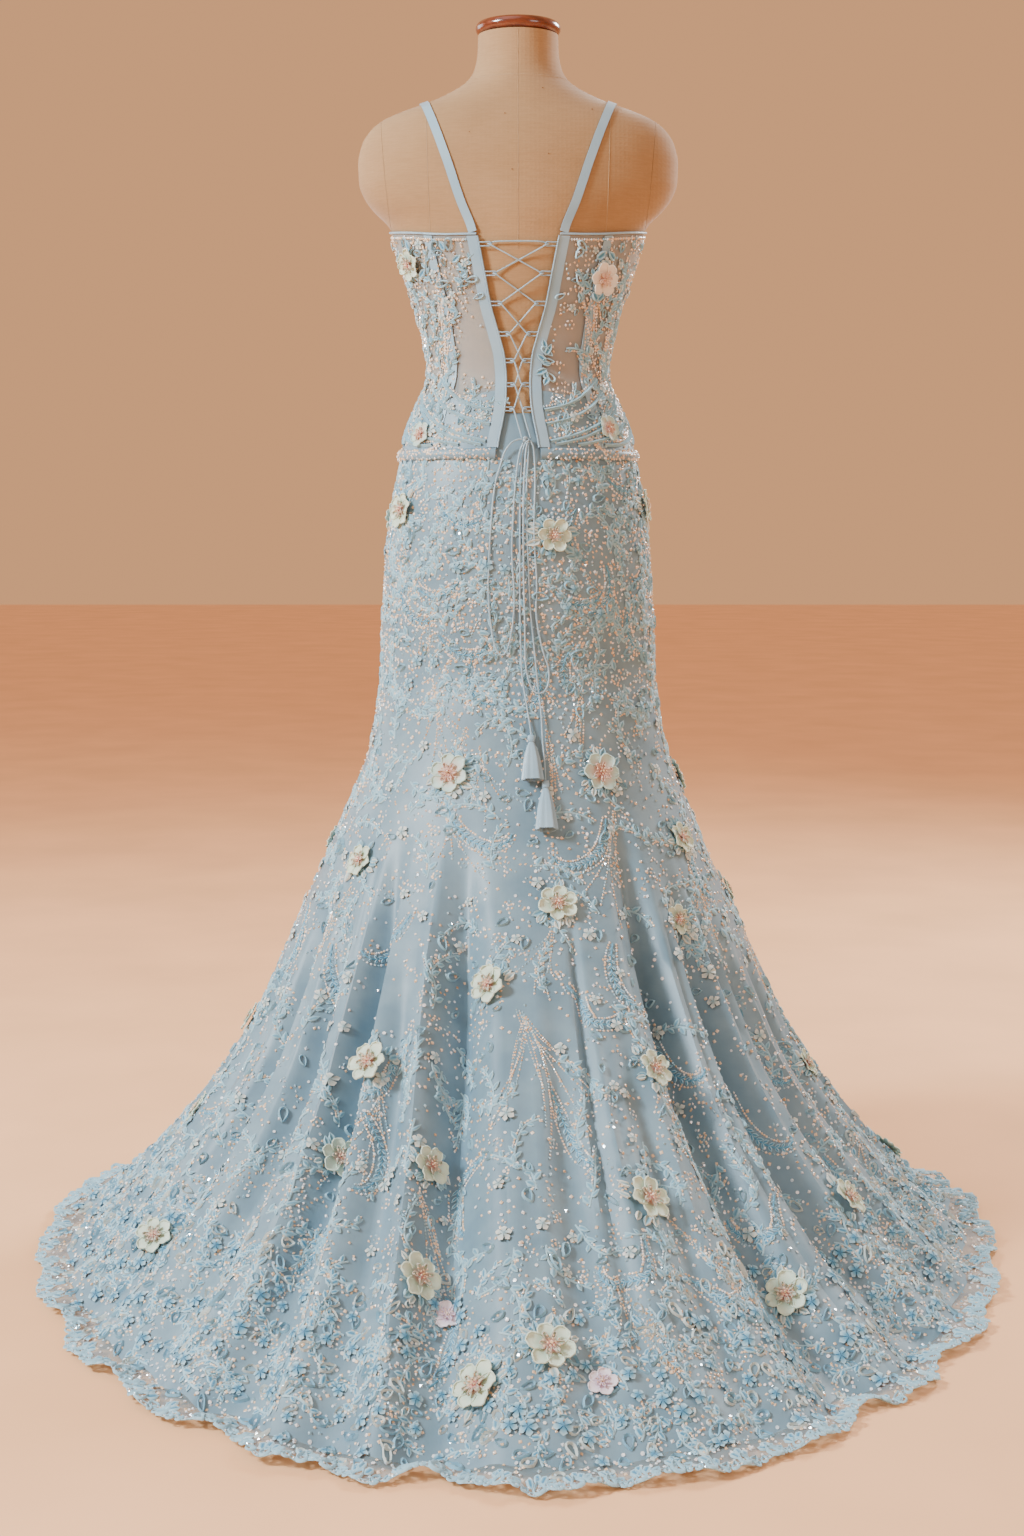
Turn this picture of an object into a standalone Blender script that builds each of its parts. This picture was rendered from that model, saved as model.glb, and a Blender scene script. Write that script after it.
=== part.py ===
"""A beaded mermaid gown with a laced corset back, worn by a limbless dress form.

Metres, +Z up. The gown's front faces -Y and its laced back faces +Y; +X is the wearer's left.
The origin is on the floor, at the centre of the stand's foot.
Surfaces are worked out by section functions of (turn, height): turn is the angle in degrees round the
body, 0 at the centre back, 90 at the wearer's left side and 180 at the centre front.
"""

import math

import bmesh
import bpy
import numpy as np
from mathutils import Matrix, Vector
from mathutils.bvhtree import BVHTree

# ---------------------------------------------------------------- driving sizes

MM = 0.001
SEAM_GAP = 0.3 * MM          # between pieces that are sewn edge to edge or lie on each other
STRIP_GAP = 0.45 * MM        # under a strip that lies on two panels
CLEAR = 1.0 * MM             # from the body's section functions to the corset's inner face
UNDER_CORSET = 1.2 * MM      # between the skirt's top and the corset over it
FORM_INSET = 1.2 * MM        # how far inside those sections the canvas form stands, under cloth
FORM_INSET_FRONT = 2.5 * MM  # and how much further under the cups
FORM_INSET_SKIRT = 2.0 * MM  # and under the skirt
CUPS_FROM, CUPS_FULL = 95, 125           # turns between which the inset under the cups comes in

FORM_BOTTOM = 0.735          # underside of the torso
NECK_TOP = 1.583             # canvas neck, under the wooden cap
CAP_RADIUS = 0.0555
CAP_HEIGHT = 0.0165
ARMHOLE_TOP = (0.178, 1.475)     # x, z of the armhole seam's ends
ARMHOLE_BOTTOM = (0.1665, 1.342)

POLE_RADIUS = 0.016
FOOT_RADIUS = 0.17
FOOT_THICKNESS = 0.014
HUB_RADIUS = 0.03
HUB_HEIGHT = 0.045

CORSET_WALL = 1.5 * MM
CORSET_HEM = 1.041           # middle of the rolled hem band
CORSET_HEM_HALF = 7.0 * MM   # half the band's height
CORSET_HEM_THICK = 5.5 * MM
BINDING_HALF = 2.0 * MM
BINDING_THICK = 2.6 * MM
SKIRT_WALL = 2.0 * MM
SKIRT_TOP = 1.093            # the skirt's top edge, under the corset
LACE_WALL = 1.5 * MM
RAY = 0.04                   # how far off a surface the rays that find it start

SIDE_BACK_TURN = 45.0        # the corset's seams, each under a boning casing
SIDE_FRONT_TURN = 125.0
CASING_WIDTH = 12 * MM
CASING_WALL = 1.0 * MM
PLACKET_WIDTH = 12 * MM
PLACKET_WALL = 1.2 * MM
STRAP_WIDTH = 11 * MM
STRAP_WALL = 1.4 * MM
STRAP_CLEAR = 1.0 * MM

PIPING_RADIUS = 1.2 * MM
LOOP_RADIUS = 0.8 * MM
LOOP_HALF_WIDTH = 2.6 * MM   # to the middle of each leg
LOOPS = (
    # height, length
    (1.306, 0.0155), (1.270, 0.0150), (1.233, 0.0145), (1.195, 0.0140), (1.161, 0.0115), (1.129, 0.0105),
    (1.097, 0.0110),
)
LACE_RADIUS = 1.0 * MM
KNOT = (-0.010, 0.1180, 1.0590)
KNOT_RADIUS = 4.5 * MM

SCALLOPS = 112               # round the whole hem
LACE_HEM_WIDTH = 40 * MM
SCALLOP_DEPTH = 9 * MM
HEM_WAVES = 31               # soft waves of its free edge, round the whole hem
HEM_WAVE_HEIGHT = 5 * MM
HEM_LIFT = 13 * MM           # how far the hem arches off the floor at a fold's crest
HEM_LIFT_FADES = 0.10        # the height where that arching has faded out
HEM_CREST = 16 * MM          # a valley this deep comes right down to the floor
STEP_OUT = (0.022, 0.050)    # above the skirt's top, where the corset comes back in to the body


class Table:
    """Rows of named columns, read at any height by a smooth curve that never overshoots its rows."""

    def __init__(self, columns, rows):
        self.names = columns.split()
        self.values = np.array(sorted(rows), float)

    def __call__(self, name, at):
        x = self.values[:, 0]
        y = self.values[:, self.names.index(name)]
        step = np.diff(x)
        slope = np.diff(y) / step
        inner = np.zeros(len(slope) - 1)
        same_way = slope[:-1] * slope[1:] > 0
        inner[same_way] = 2 * slope[:-1][same_way] * slope[1:][same_way] / (slope[:-1] + slope[1:])[same_way]
        tangent = np.concatenate([[slope[0]], inner, [slope[-1]]])
        at = np.clip(np.asarray(at, float), x[0], x[-1])
        i = np.clip(np.searchsorted(x, at) - 1, 0, len(step) - 1)
        s = (at - x[i]) / step[i]
        return (
            y[i] * (1 + 2 * s) * (1 - s) ** 2
            + tangent[i] * step[i] * s * (1 - s) ** 2
            + y[i + 1] * s * s * (3 - 2 * s)
            + tangent[i + 1] * step[i] * s * s * (s - 1)
        )


# The dress form, shoulder caps included: half its width, and its depth to the front and to the back.
BODY = Table("height half_width front back", [
    (0.735, 0.1785, 0.112, 0.124),
    (0.800, 0.1795, 0.116, 0.133),
    (0.860, 0.1760, 0.117, 0.136),
    (0.920, 0.1720, 0.115, 0.135),
    (0.970, 0.1650, 0.111, 0.129),
    (1.020, 0.1555, 0.105, 0.119),
    (1.060, 0.1455, 0.100, 0.108),
    (1.100, 0.1315, 0.095, 0.097),
    (1.130, 0.1195, 0.0905, 0.089),
    (1.155, 0.1165, 0.0890, 0.0855),
    (1.190, 0.1222, 0.0930, 0.0875),
    (1.230, 0.1320, 0.100, 0.094),
    (1.270, 0.1455, 0.106, 0.101),
    (1.300, 0.1560, 0.109, 0.105),
    (1.330, 0.1645, 0.110, 0.108),
    (1.345, 0.1740, 0.109, 0.109),
    (1.357, 0.1870, 0.107, 0.1095),
    (1.375, 0.2010, 0.103, 0.1090),
    (1.395, 0.2085, 0.098, 0.107),
    (1.420, 0.2095, 0.090, 0.104),
    (1.445, 0.2040, 0.081, 0.098),
    (1.462, 0.1930, 0.074, 0.092),
    (1.475, 0.1760, 0.068, 0.086),
    (1.485, 0.1520, 0.063, 0.081),
    (1.495, 0.1220, 0.0585, 0.0765),
    (1.505, 0.0980, 0.055, 0.072),
    (1.515, 0.0790, 0.053, 0.067),
    (1.525, 0.0660, 0.0525, 0.062),
    (1.540, 0.0570, 0.052, 0.057),
    (1.560, 0.0530, 0.052, 0.054),
    (1.583, 0.0520, 0.052, 0.053),
])
BUST_TURN, BUST_HEIGHT, BUST_REACH = 150.0, 1.295, 0.026   # the form's smooth general bust
BUST_TURN_SPREAD, BUST_HEIGHT_SPREAD = 24.0, 0.050

# The skirt's outer face along its fold crests, below where it leaves the form.
SKIRT = Table("height half_width front back", [
    (0.000, 0.606, 0.432, 0.824),
    (0.020, 0.582, 0.421, 0.798),
    (0.050, 0.552, 0.409, 0.764),
    (0.090, 0.515, 0.392, 0.718),
    (0.131, 0.478, 0.372, 0.668),
    (0.179, 0.437, 0.347, 0.608),
    (0.231, 0.400, 0.320, 0.544),
    (0.283, 0.367, 0.294, 0.481),
    (0.335, 0.342, 0.269, 0.421),
    (0.387, 0.316, 0.245, 0.364),
    (0.440, 0.291, 0.222, 0.312),
    (0.492, 0.266, 0.201, 0.266),
    (0.545, 0.243, 0.182, 0.227),
    (0.598, 0.220, 0.165, 0.195),
    (0.651, 0.201, 0.150, 0.170),
    (0.703, 0.190, 0.139, 0.155),
    (0.757, 0.1845, 0.128, 0.1455),
    (0.811, 0.1825, 0.121, 0.139),
])
LEAVES_FORM, ON_FORM = 0.70, 0.81

# The folds of the flare: the valleys between its crests. Turn at the hem and where the fold starts, the
# height where it starts, half its width at the hem in degrees, and its greatest depth.
FOLDS = (
    # hem_turn, start_turn, start_height, half_width, depth
    (-172, -172, 0.36, 6.5, 0.024),
    (-158, -157, 0.44, 7.0, 0.034),
    (-144, -142, 0.46, 6.5, 0.036),
    (-130, -127, 0.40, 7.0, 0.032),
    (-115, -112, 0.46, 7.0, 0.038),
    (-101, -98, 0.46, 6.5, 0.036),
    (-88, -86, 0.44, 5.5, 0.030),
    (-76, -73, 0.46, 5.5, 0.044),
    (-64, -60, 0.50, 5.5, 0.044),
    (-51, -47, 0.56, 6.5, 0.074),
    (-37, -33, 0.64, 6.5, 0.090),
    (-25.5, -22, 0.40, 4.5, 0.026),
    (-9, -8, 0.42, 5.5, 0.024),
    (8, 17, 0.62, 6.5, 0.084),
    (19, 28, 0.46, 5.0, 0.040),
    (31, 39, 0.60, 6.5, 0.084),
    (46, 51, 0.52, 7.0, 0.068),
    (60, 63, 0.54, 6.5, 0.064),
    (73, 75, 0.46, 5.5, 0.034),
    (86, 87, 0.46, 6.0, 0.034),
    (100, 99, 0.46, 7.0, 0.038),
    (114, 111, 0.42, 6.5, 0.034),
    (129, 126, 0.46, 7.0, 0.038),
    (144, 142, 0.40, 7.0, 0.032),
    (159, 158, 0.46, 6.5, 0.036),
    (174, 174, 0.38, 6.5, 0.026),
)
FOLD_GAIN = Table("height gain", [
    (0.00, 0.38), (0.04, 0.58), (0.10, 0.88), (0.20, 1.00), (0.35, 0.90), (0.48, 0.62), (0.60, 0.22),
    (0.68, 0.0),
])

# Half the width of the laced opening at the centre back.
OPENING = Table("height half_gap", [
    (1.034, 0.0290), (1.056, 0.0260), (1.090, 0.0195), (1.110, 0.0170), (1.130, 0.0165), (1.163, 0.0185),
    (1.193, 0.0255), (1.231, 0.0360), (1.270, 0.0435), (1.306, 0.0505), (1.325, 0.0545),
])

# The corset's top edge, lowest at the back and highest over the bust.
CORSET_TOP = Table("turn height", [
    (0, 1.316), (30, 1.317), (60, 1.324), (85, 1.330), (110, 1.338), (135, 1.362), (150, 1.372),
    (165, 1.356), (180, 1.330),
])


# ---------------------------------------------------------------- section functions

def smoothstep(low, high, value):
    share = np.clip((np.asarray(value, float) - low) / (high - low), 0, 1)
    return share * share * (3 - 2 * share)


def turn_gap(a, b):
    """The signed difference between two turns, from -180 to 180."""
    return (np.asarray(a, float) - b + 180) % 360 - 180


def oval(turn, half_width, front, back):
    """A point of an egg-shaped section: its back half is as deep as back, its front half as front."""
    angle = np.radians(turn)
    depth = np.where(np.cos(angle) >= 0, back, front)
    return half_width * np.sin(angle), depth * np.cos(angle)


def body_point(turn, height):
    """The dress form's surface."""
    turn, height = np.broadcast_arrays(np.asarray(turn, float), np.asarray(height, float))
    x, y = oval(turn, BODY("half_width", height), BODY("front", height), BODY("back", height))
    for side in (-1, 1):
        near = (turn_gap(turn, side * BUST_TURN) / BUST_TURN_SPREAD) ** 2
        near = near + ((height - BUST_HEIGHT) / BUST_HEIGHT_SPREAD) ** 2
        y = y - BUST_REACH * np.exp(-near)
    return np.stack([x, y, height], axis=-1)


def normals(surface, turn, height):
    """Unit normals of a section function, pointing out of the body."""
    around = surface(turn + 0.3, height) - surface(turn - 0.3, height)
    up = surface(turn, np.asarray(height) + 0.001) - surface(turn, np.asarray(height) - 0.001)
    across = np.cross(up, around)
    return across / np.linalg.norm(across, axis=-1, keepdims=True)


def body_offset(turn, height, lift):
    """The dress form's surface, moved out along its normals."""
    turn, height, lift = np.broadcast_arrays(
        np.asarray(turn, float), np.asarray(height, float), np.asarray(lift, float)
    )
    return body_point(turn, height) + normals(body_point, turn, height) * lift[..., None]


def fold_centre(fold, height):
    hem_turn, start_turn, start_height = fold[:3]
    share = np.clip((start_height - height) / start_height, 0, 1)
    return start_turn + (hem_turn - start_turn) * share


def skirt_turn(hem_turn, height):
    """The turn, at a height, of the line that reaches the hem at hem_turn and runs along with the folds."""
    hem_turn, height = np.broadcast_arrays(np.asarray(hem_turn, float), np.asarray(height, float))
    shifts = np.stack([fold_centre(fold, height) - fold[0] for fold in FOLDS], axis=-1)
    hems = np.array([fold[0] for fold in FOLDS], float)
    hems = np.concatenate([[hems[-1] - 360], hems, [hems[0] + 360]])
    shifts = np.concatenate([shifts[..., -1:], shifts, shifts[..., :1]], axis=-1)
    at = (hem_turn + 180) % 360 - 180
    i = np.clip(np.searchsorted(hems, at, side="right") - 1, 0, len(hems) - 2)
    share = (at - hems[i]) / (hems[i + 1] - hems[i])
    low = np.take_along_axis(shifts, i[..., None], axis=-1)[..., 0]
    high = np.take_along_axis(shifts, i[..., None] + 1, axis=-1)[..., 0]
    return hem_turn + low + (high - low) * smoothstep(0, 1, share)


def skirt_valley(hem_turn, height):
    """How far the folds take the skirt in from its crests, in metres."""
    hem_turn, height = np.broadcast_arrays(np.asarray(hem_turn, float), np.asarray(height, float))
    depth = np.zeros(hem_turn.shape)
    for centre, _, start_height, half_width, deepest in FOLDS:
        grown = smoothstep(0, 0.5, (start_height - height) / start_height)
        across = np.clip(turn_gap(hem_turn, centre) / half_width, -1, 1)
        depth += deepest * grown * np.cos(across * math.pi / 2) ** 2
    return depth * FOLD_GAIN("gain", height)


def skirt_point(hem_turn, height):
    """The skirt's outer face, on the form at the top and free of it below. Height 0 is the hem."""
    hem_turn, height = np.broadcast_arrays(np.asarray(hem_turn, float), np.asarray(height, float))
    turn = skirt_turn(hem_turn, height)
    x, y = oval(turn, SKIRT("half_width", height), SKIRT("front", height), SKIRT("back", height))
    valley = skirt_valley(hem_turn, height)
    kept = 1 - valley / np.hypot(x, y)
    crest = 1 - np.clip(valley / HEM_CREST, 0, 1)
    lift = SKIRT_WALL + HEM_LIFT * crest
    z = height + lift * (1 - smoothstep(0, HEM_LIFT_FADES, height))
    free = np.stack([x * kept, y * kept, z], axis=-1)
    share = smoothstep(LEAVES_FORM, ON_FORM, height)[..., None]
    return free * (1 - share) + body_offset(turn, height, CLEAR + SKIRT_WALL) * share


def corset_point(turn, height, lift):
    """A point that far above the corset's inner face, which steps out over the skirt's top."""
    low, high = (SKIRT_TOP + above for above in STEP_OUT)
    step = (SKIRT_WALL + UNDER_CORSET) * (1 - smoothstep(low, high, height))
    return body_offset(turn, height, CLEAR + step + lift)


def form_point(turn, height):
    """The canvas form's own surface: the body, a little slimmer where cloth covers it."""
    front = smoothstep(CUPS_FROM, CUPS_FULL, np.abs(turn_gap(turn, 0)))
    back_edge, front_edge = float(CORSET_TOP("height", 0)), float(CORSET_TOP("height", 150))
    under = FORM_INSET * (1 - smoothstep(back_edge, back_edge + 0.03, height))
    under = under + FORM_INSET_FRONT * front * (1 - smoothstep(front_edge - 0.035, front_edge - 0.005, height))
    under = under + FORM_INSET_SKIRT * (1 - smoothstep(SKIRT_TOP - 0.02, SKIRT_TOP + 0.01, height))
    return body_offset(turn, height, -under)


def on_back(x, height, lift):
    """A point above the corset's inner face at the back, by its x."""
    turn = math.degrees(math.asin(x / float(BODY("half_width", height))))
    return Vector(corset_point(turn, height, lift))


def corset_top(turn):
    return float(CORSET_TOP("height", abs(turn_gap(turn, 0))))


# ---------------------------------------------------------------- shapes

def material(name, colour, roughness, metallic=0.0):
    made = bpy.data.materials.new(name)
    made.use_nodes = True
    shader = made.node_tree.nodes["Principled BSDF"]
    shader.inputs["Base Color"].default_value = (*colour, 1)
    shader.inputs["Roughness"].default_value = roughness
    shader.inputs["Metallic"].default_value = metallic
    return made


def add_object(name, mesh, look):
    made = bpy.data.objects.new(name, mesh)
    mesh.materials.append(look)
    PARTS.objects.link(made)
    return made


def mesh_from(name, points, faces, smooth=True):
    mesh = bpy.data.meshes.new(name)
    mesh.from_pydata([tuple(p) for p in points], [], faces)
    shape = bmesh.new()
    shape.from_mesh(mesh)
    bmesh.ops.recalc_face_normals(shape, faces=shape.faces)
    shape.to_mesh(mesh)
    shape.free()
    if smooth:
        mesh.shade_smooth()
        mesh.set_sharp_from_angle(angle=math.radians(50))
    return mesh


def wall(name, outer, inner, look):
    """Cloth between an outer and an inner grid of points, closed by a rim round its edges."""
    rows, columns = outer.shape[:2]
    count = rows * columns
    rim = [(0, c) for c in range(columns - 1)] + [(r, columns - 1) for r in range(rows - 1)]
    rim += [(rows - 1, c) for c in range(columns - 1, 0, -1)] + [(r, 0) for r in range(rows - 1, 0, -1)]
    rim = [r * columns + c for r, c in rim]
    faces = []
    for r in range(rows - 1):
        for c in range(columns - 1):
            a = r * columns + c
            faces.append((a, a + 1, a + columns + 1, a + columns))
            faces.append((count + a, count + a + columns, count + a + columns + 1, count + a + 1))
    faces += [(a, b, count + b, count + a) for a, b in zip(rim, rim[1:] + rim[:1])]
    points = np.concatenate([outer.reshape(-1, 3), inner.reshape(-1, 3)])
    return add_object(name, mesh_from(name, points, faces), look)


def loft(name, rings, look):
    """A closed solid through rings of points, with flat ends."""
    rings = np.asarray(rings)
    count, around = rings.shape[:2]
    faces = [tuple(range(around)), tuple((count - 1) * around + i for i in reversed(range(around)))]
    for r in range(count - 1):
        for i in range(around):
            j = (i + 1) % around
            faces.append((r * around + i, r * around + j, (r + 1) * around + j, (r + 1) * around + i))
    return add_object(name, mesh_from(name, rings.reshape(-1, 3), faces), look)


def turned(name, profile, steps, look, place=(0, 0, 0)):
    """A solid turned round Z from (radius, height) points that run down its outer side."""
    mesh = bpy.data.meshes.new(name)
    mesh.from_pydata([(r, 0, z) for r, z in profile], [(i, i + 1) for i in range(len(profile) - 1)], [])
    made = add_object(name, mesh, look)
    made.location = place
    screw = made.modifiers.new("Screw", "SCREW")
    screw.steps = screw.render_steps = steps
    screw.use_merge_vertices = True
    screw.merge_threshold = 0.00005
    screw.use_smooth_shade = True
    return made


def through(points, spacing):
    """A smooth curve through hand-placed points, read every so far."""
    points = [Vector(p) for p in points]
    ends = [points[0] * 2 - points[1]] + points + [points[-1] * 2 - points[-2]]
    line = []
    for a, b, c, d in zip(ends, ends[1:], ends[2:], ends[3:]):
        steps = max(1, round((c - b).length / spacing))
        for i in range(steps):
            t = i / steps
            square, cube = 2 * a - 5 * b + 4 * c - d, 3 * b - a - 3 * c + d
            line.append((2 * b + (c - a) * t + square * t**2 + cube * t**3) / 2)
    return line + [points[-1]]


def tube(name, line, radius, look, resolution=2):
    """A round cord along a line, as a curve object."""
    curve = bpy.data.curves.new(name, "CURVE")
    curve.dimensions = "3D"
    curve.bevel_depth = radius
    curve.bevel_resolution = resolution
    curve.use_fill_caps = True
    spline = curve.splines.new("POLY")
    spline.points.add(len(line) - 1)
    for point, place in zip(spline.points, line):
        point.co = (*place, 1)
    made = bpy.data.objects.new(name, curve)
    curve.materials.append(look)
    PARTS.objects.link(made)
    return made


def as_mesh(made):
    """The same object with its evaluated mesh in place of its curve or modifiers."""
    bpy.context.view_layer.update()
    graph = bpy.context.evaluated_depsgraph_get()
    mesh = bpy.data.meshes.new_from_object(made.evaluated_get(graph))
    shape = bmesh.new()
    shape.from_mesh(mesh)
    bmesh.ops.remove_doubles(shape, verts=shape.verts, dist=0.00001)
    bmesh.ops.recalc_face_normals(shape, faces=shape.faces)
    shape.to_mesh(mesh)
    shape.free()
    name, matrix, home = made.name, made.matrix_world.copy(), made.users_collection[0]
    bpy.data.objects.remove(made)
    solid = bpy.data.objects.new(name, mesh)
    solid.matrix_world = matrix
    home.objects.link(solid)
    return solid


def boolean(made, other, operation):
    modifier = made.modifiers.new(operation.title(), "BOOLEAN")
    modifier.operation = operation
    modifier.solver = "EXACT"
    modifier.object = other


def as_helper(made):
    """A cutter, or a piece that has been joined into another: it isn't a part of its own."""
    for home in list(made.users_collection):
        home.objects.unlink(made)
    HELPERS.objects.link(made)
    made.hide_render = True
    made.display_type = "WIRE"
    return made


def height_over(tree, place, outward):
    """How far the surface lies above a place near it, along outward, or None where there is no surface."""
    reach = tree.ray_cast(place + outward * RAY, -outward)[3]
    return None if reach is None else RAY - reach


def surface_tree(solids):
    """One search tree over the faces of some finished solids."""
    bpy.context.view_layer.update()
    graph = bpy.context.evaluated_depsgraph_get()
    points, faces = [], []
    for made in solids:
        evaluated = made.evaluated_get(graph)
        mesh = evaluated.to_mesh()
        mesh.calc_loop_triangles()
        faces += [tuple(len(points) + i for i in triangle.vertices) for triangle in mesh.loop_triangles]
        points += [made.matrix_world @ v.co for v in mesh.vertices]
        evaluated.to_mesh_clear()
    return BVHTree.FromPolygons(points, faces)


# ---------------------------------------------------------------- the dress form and its stand

FORM_STEPS = 28
FORM_HEIGHTS = (
    0.735, 0.87, 1.00, 1.07, 1.115, 1.15, 1.195, 1.25, 1.30, 1.33, 1.347, 1.370, 1.40, 1.43, 1.455, 1.472,
    1.487, 1.50, 1.52, 1.583,
)


def form_body(name):
    """The whole upper body with rounded shoulders, before it is split at the armhole seams."""
    turns = np.arange(FORM_STEPS) * 360 / FORM_STEPS
    return loft(name, [form_point(turns, height) for height in FORM_HEIGHTS], CANVAS)


def armhole_block(name, side, away):
    """A block whose inner face is the armhole seam's plane, moved that far out."""
    reach, depth, tall = 0.10, 0.40, 0.40
    (top_x, top_z), (low_x, low_z) = ARMHOLE_TOP, ARMHOLE_BOTTOM
    mesh = bpy.data.meshes.new(name)
    shape = bmesh.new()
    bmesh.ops.create_cube(shape, size=1, matrix=Matrix.Diagonal((reach, depth, tall, 1)))
    bmesh.ops.translate(shape, verts=shape.verts, vec=(side * (reach / 2 + away), 0, 0))
    shape.to_mesh(mesh)
    shape.free()
    block = bpy.data.objects.new(name, mesh)
    block.rotation_euler = (0, side * math.atan2(top_x - low_x, top_z - low_z), 0)
    block.location = (side * (top_x + low_x) / 2, 0, (top_z + low_z) / 2)
    HELPERS.objects.link(block)
    block.hide_render = True
    block.display_type = "WIRE"
    return block


def dress_form():
    """The canvas torso with its two padded shoulder caps, one cut from the other at the armhole planes."""
    torso = form_body("form_torso")
    for side, word in ((1, "left"), (-1, "right")):
        boolean(torso, armhole_block(f"cutter_torso_{word}", side, 0), "DIFFERENCE")
        cap = form_body(f"form_shoulder_{word}")
        boolean(cap, armhole_block(f"cutter_shoulder_{word}", side, SEAM_GAP), "INTERSECT")
    return torso


def stand():
    low, high = NECK_TOP + SEAM_GAP, NECK_TOP + SEAM_GAP + CAP_HEIGHT
    half, middle = CAP_HEIGHT / 2, (low + high) / 2
    bulge = [
        (CAP_RADIUS - half + half * math.cos(a), middle + half * math.sin(a))
        for a in np.radians(np.linspace(90, -90, 6))
    ]
    turned("form_neck_cap", [(0, high), *bulge, (0, low)], 22, WOOD)
    hub_top = FOOT_THICKNESS + HUB_HEIGHT
    turned("form_foot", [
        (0, hub_top), (HUB_RADIUS * 0.8, hub_top), (HUB_RADIUS, hub_top - 0.006), (HUB_RADIUS * 1.15, 0.026),
        (FOOT_RADIUS * 0.5, 0.018), (FOOT_RADIUS, 0.008), (FOOT_RADIUS, 0), (0, 0),
    ], 24, STEEL)
    turned("form_pole", [
        (0, FORM_BOTTOM - SEAM_GAP), (POLE_RADIUS, FORM_BOTTOM - SEAM_GAP),
        (POLE_RADIUS, hub_top + SEAM_GAP), (0, hub_top + SEAM_GAP),
    ], 14, STEEL)


# ---------------------------------------------------------------- the corset

CORSET_ROWS = 10


def drawn_in(points):
    """The grid with its first and last columns drawn in from the seams by half the gap there."""
    points = points.copy()
    for edge, beside in ((0, 1), (-1, -2)):
        along = points[:, beside] - points[:, edge]
        points[:, edge] += along / np.linalg.norm(along, axis=-1, keepdims=True) * SEAM_GAP / 2
    return points


def mirrored_on(points):
    """The left half's grid, from its seam to the centre, and its mirror image on the right."""
    return np.concatenate([points, points[:, -2::-1] * (-1, 1, 1)], axis=1)


def opening_line(beside):
    """A line up the corset that far outside the laced opening's edge, as a turn by height."""
    return lambda z: math.degrees(math.asin((OPENING("half_gap", z) + beside) / BODY("half_width", z)))


def seam_line(turn, beside=0.0):
    """A line up the corset at a turn, or that far beside it."""
    return lambda z: turn + math.degrees(beside / np.linalg.norm(body_point(turn, z)[:2]))


def between(first, last, count):
    """Lines spaced evenly between two others."""
    shares = np.arange(1, count + 1) / (count + 1)
    return [lambda z, s=share: first(z) + (last(z) - first(z)) * s for share in shares]


def casing_lines(turn):
    return [seam_line(turn, beside) for beside in (-CASING_WIDTH / 2, 0.0, CASING_WIDTH / 2)]


def corset_lines():
    """The lines from the opening's edge round to the centre front, and where the pieces lie among them."""
    placket = [opening_line(0.0), opening_line(PLACKET_WIDTH)]
    back_casing, front_casing = casing_lines(SIDE_BACK_TURN), casing_lines(SIDE_FRONT_TURN)
    back = between(placket[-1], back_casing[0], 2)
    side = between(back_casing[-1], front_casing[0], 6)
    front = between(front_casing[-1], seam_line(180), 4) + [seam_line(180)]
    lines = placket + back + back_casing + side + front_casing + front
    back_seam = lines.index(back_casing[1])
    front_seam = lines.index(front_casing[1])
    return lines, back_seam, front_seam


def corset_face(lines, lift):
    """A grid of points over some lines, from the hem band up to the top edge."""
    bottom = CORSET_HEM + CORSET_HEM_HALF + SEAM_GAP
    points = np.empty((CORSET_ROWS, len(lines), 3))
    for c, line in enumerate(lines):
        for r, share in enumerate(np.linspace(0, 1, CORSET_ROWS)):
            height = bottom
            for _ in range(4):
                height = bottom + (corset_top(line(height)) - bottom) * share
            points[r, c] = corset_point(line(height), height, lift)
    return points


def both_sides(name, outer, inner, look):
    """A piece on the left, and its mirror image on the right."""
    wall(f"{name}_left", outer, inner, look)
    wall(f"{name}_right", outer * (-1, 1, 1), inner * (-1, 1, 1), look)


def band_round_corset(name, lines, height_of, half_height, thickness, look):
    """A rolled edge round the corset, from one side of the opening to the other, over the panels' lines."""
    rings = []
    for line in lines:
        height = height_of(line(height_of(0)))
        corners = ((0, -1), (0, 1), (1, 1), (1, -1))
        rings.append(np.array([
            corset_point(line(height), height + half_height * up, BAND_LIFT + thickness * out) for out, up in corners
        ]))
    mirrored = [ring * (-1, 1, 1) for ring in rings[-2::-1]]
    return loft(name, rings + mirrored, look)


BAND_LIFT = 0.2 * MM         # of a band's back, above the panels' inner face
STRAP_ROUTE = (
    # x, y, z on the wearer's left, from the back's top edge over the shoulder to the front's
    (0.0610, 0.112, 1.3235), (0.0730, 0.108, 1.355), (0.0860, 0.104, 1.395), (0.1000, 0.096, 1.435),
    (0.1120, 0.078, 1.468), (0.1215, 0.045, 1.493), (0.1250, 0.000, 1.500), (0.1220, -0.042, 1.485),
    (0.1170, -0.075, 1.455), (0.1120, -0.100, 1.415), (0.1080, -0.125, 1.3780),
)
STRAP_STEP = 0.012


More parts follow.
